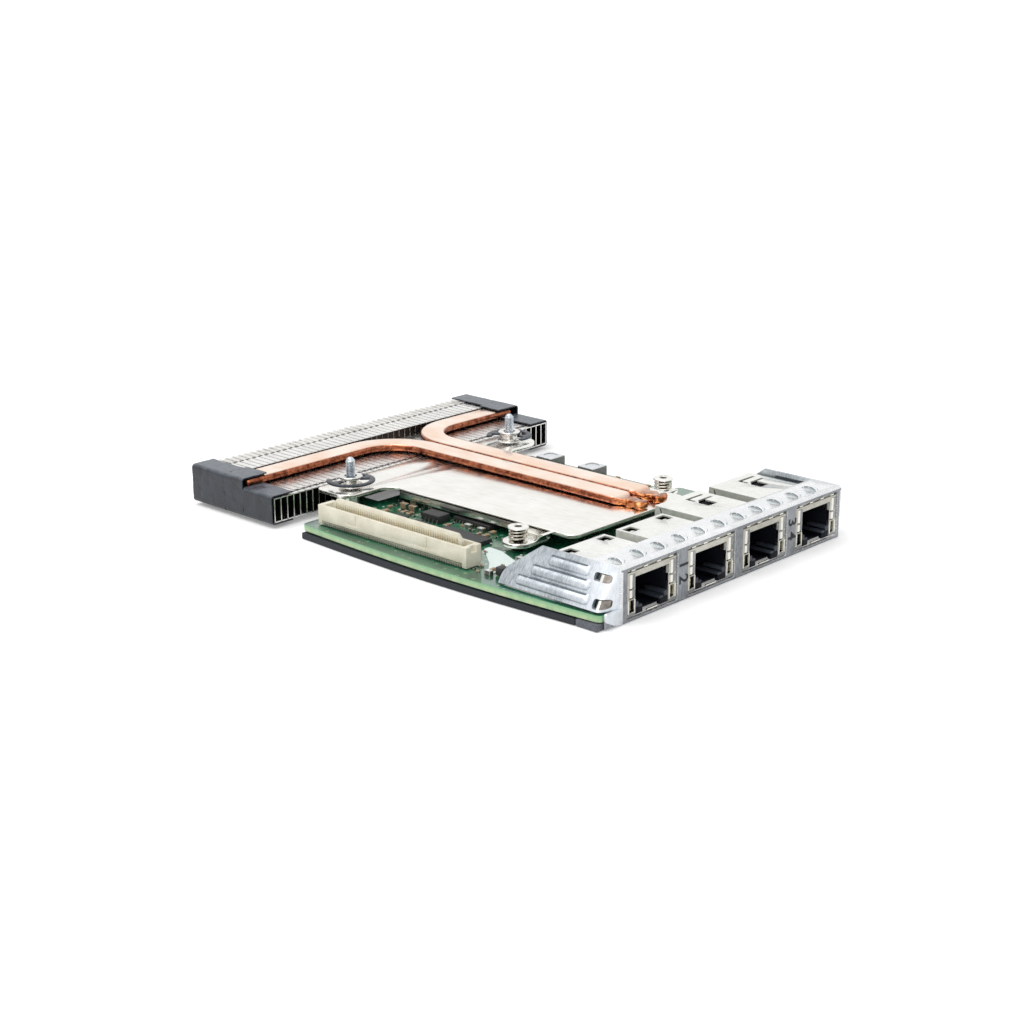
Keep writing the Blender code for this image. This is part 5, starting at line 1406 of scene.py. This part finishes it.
def portNumber(text, x):
    pick()
    bpy.ops.object.text_add(location=(0, 0, 0))
    words = bpy.context.object
    words.data.body = text
    words.data.size = printSize["digit"]
    words.data.align_x = words.data.align_y = "CENTER"
    words.data.extrude = printSize["film"]
    words.data.offset = printSize["bold"]
    bpy.ops.object.convert(target="MESH")
    words = bpy.context.object
    for vert in words.data.vertices:             # on the front wall, read downwards
        a, b, c = vert.co
        vert.co = (x + b, 0.0 - c + printSize["film"] * 0.2, printSize["level"] - a)
    return words


numbers = dress(joined(*[portNumber(text, x) for text, x in printSize["posts"]]), "inkDark")
pick(numbers)
bpy.ops.object.mode_set(mode="EDIT")
tidyNormals()
bpy.ops.object.mode_set(mode="OBJECT")
settle(numbers, "port_numbers", "bracket_steel")


def makePrint():
    high = boardSize["high"]
    patch = sheetPlate(rounded([(a, b, 0.5) for a, b in printSize["patch"]]), high, high + 0.03)
    dot = sheetPlate(disc(0, 0, printSize["dot"], 12), high, high + 0.04)
    places = [(seededRandom.uniform(3, 21), seededRandom.uniform(24, 98), 0) for k in range(printSize["dots"])]
    dots = copyTo(dot, places)
    return dress(joined(*dots, patch), "inkWhite")


settle(makePrint(), "board_print", "board_green")
print("network card: numbers and print added")

# floor, light and background
studio = {"floor": tint(250, 250, 250), "world": 0.62, "key": 3.2, "fill": 1.2,
          "glowFrom": (90, 420), "glow": (0.2, 0.6)}


def addLamp(name, place, aim, size, power):
    data = bpy.data.lights.new(name, "AREA")
    data.shape = "RECTANGLE"
    data.size = data.size_y = size
    data.energy = power
    lamp = bpy.data.objects.new(name, data)
    lamp.location = place
    lamp.rotation_euler = (Vector(aim) - Vector(place)).to_track_quat("-Z", "Y").to_euler()
    bpy.context.scene.collection.objects.link(lamp)


addLamp("keySoftbox", (-0.25, 0.1, 0.75), (0, 0, 0), 0.6, studio["key"])
addLamp("fillSoftbox", (-0.75, -0.5, 0.45), (0, 0, 0), 0.7, studio["fill"])


def lightWorld():
    # white where it is seen or mirrored, dimmer where it only lights
    world = bpy.data.worlds.new("studioWorld")
    bpy.context.scene.world = world
    world.use_nodes = True
    nodes, links = world.node_tree.nodes, world.node_tree.links
    path = nodes.new("ShaderNodeLightPath")
    seen = path.outputs["Is Camera Ray"]
    for ray in ("Is Glossy Ray", "Is Transmission Ray"):
        either = nodes.new("ShaderNodeMath")
        either.operation = "MAXIMUM"
        links.new(seen, either.inputs[0])
        links.new(path.outputs[ray], either.inputs[1])
        seen = either.outputs[0]
    level = nodes.new("ShaderNodeMapRange")
    links.new(seen, level.inputs[0])
    level.inputs[3].default_value = studio["world"]
    level.inputs[4].default_value = 1.0
    links.new(level.outputs[0], nodes["Background"].inputs["Strength"])
    nodes["Background"].inputs["Color"].default_value = (1, 1, 1, 1)


def layFloor():
    # white, and glowing towards the camera away from the card, so that its edge is lost
    pick()
    bpy.ops.mesh.primitive_plane_add(size=6, location=(0, 0, -0.0002))
    floor = bpy.context.object
    floor.name = "studioFloor"
    paint = Paint("floorWhite", Roughness=0.95, Base_Color=studio["floor"], Emission_Strength=1.0)
    seen = paint.node("ShaderNodeLightPath", output="Is Camera Ray")
    away = paint.node("ShaderNodeVectorMath", {"operation": "LENGTH"}, {0: paint.place()}, output="Value")
    glow = seen * paint.band(away, *studio["glowFrom"], *studio["glow"])
    paint.feed("Emission Color", paint.mix((0, 0, 0, 1), (1, 1, 1, 1), glow))
    floor.data.materials.append(paint.material)


lightWorld()
layFloor()

print("network card: scene ready")
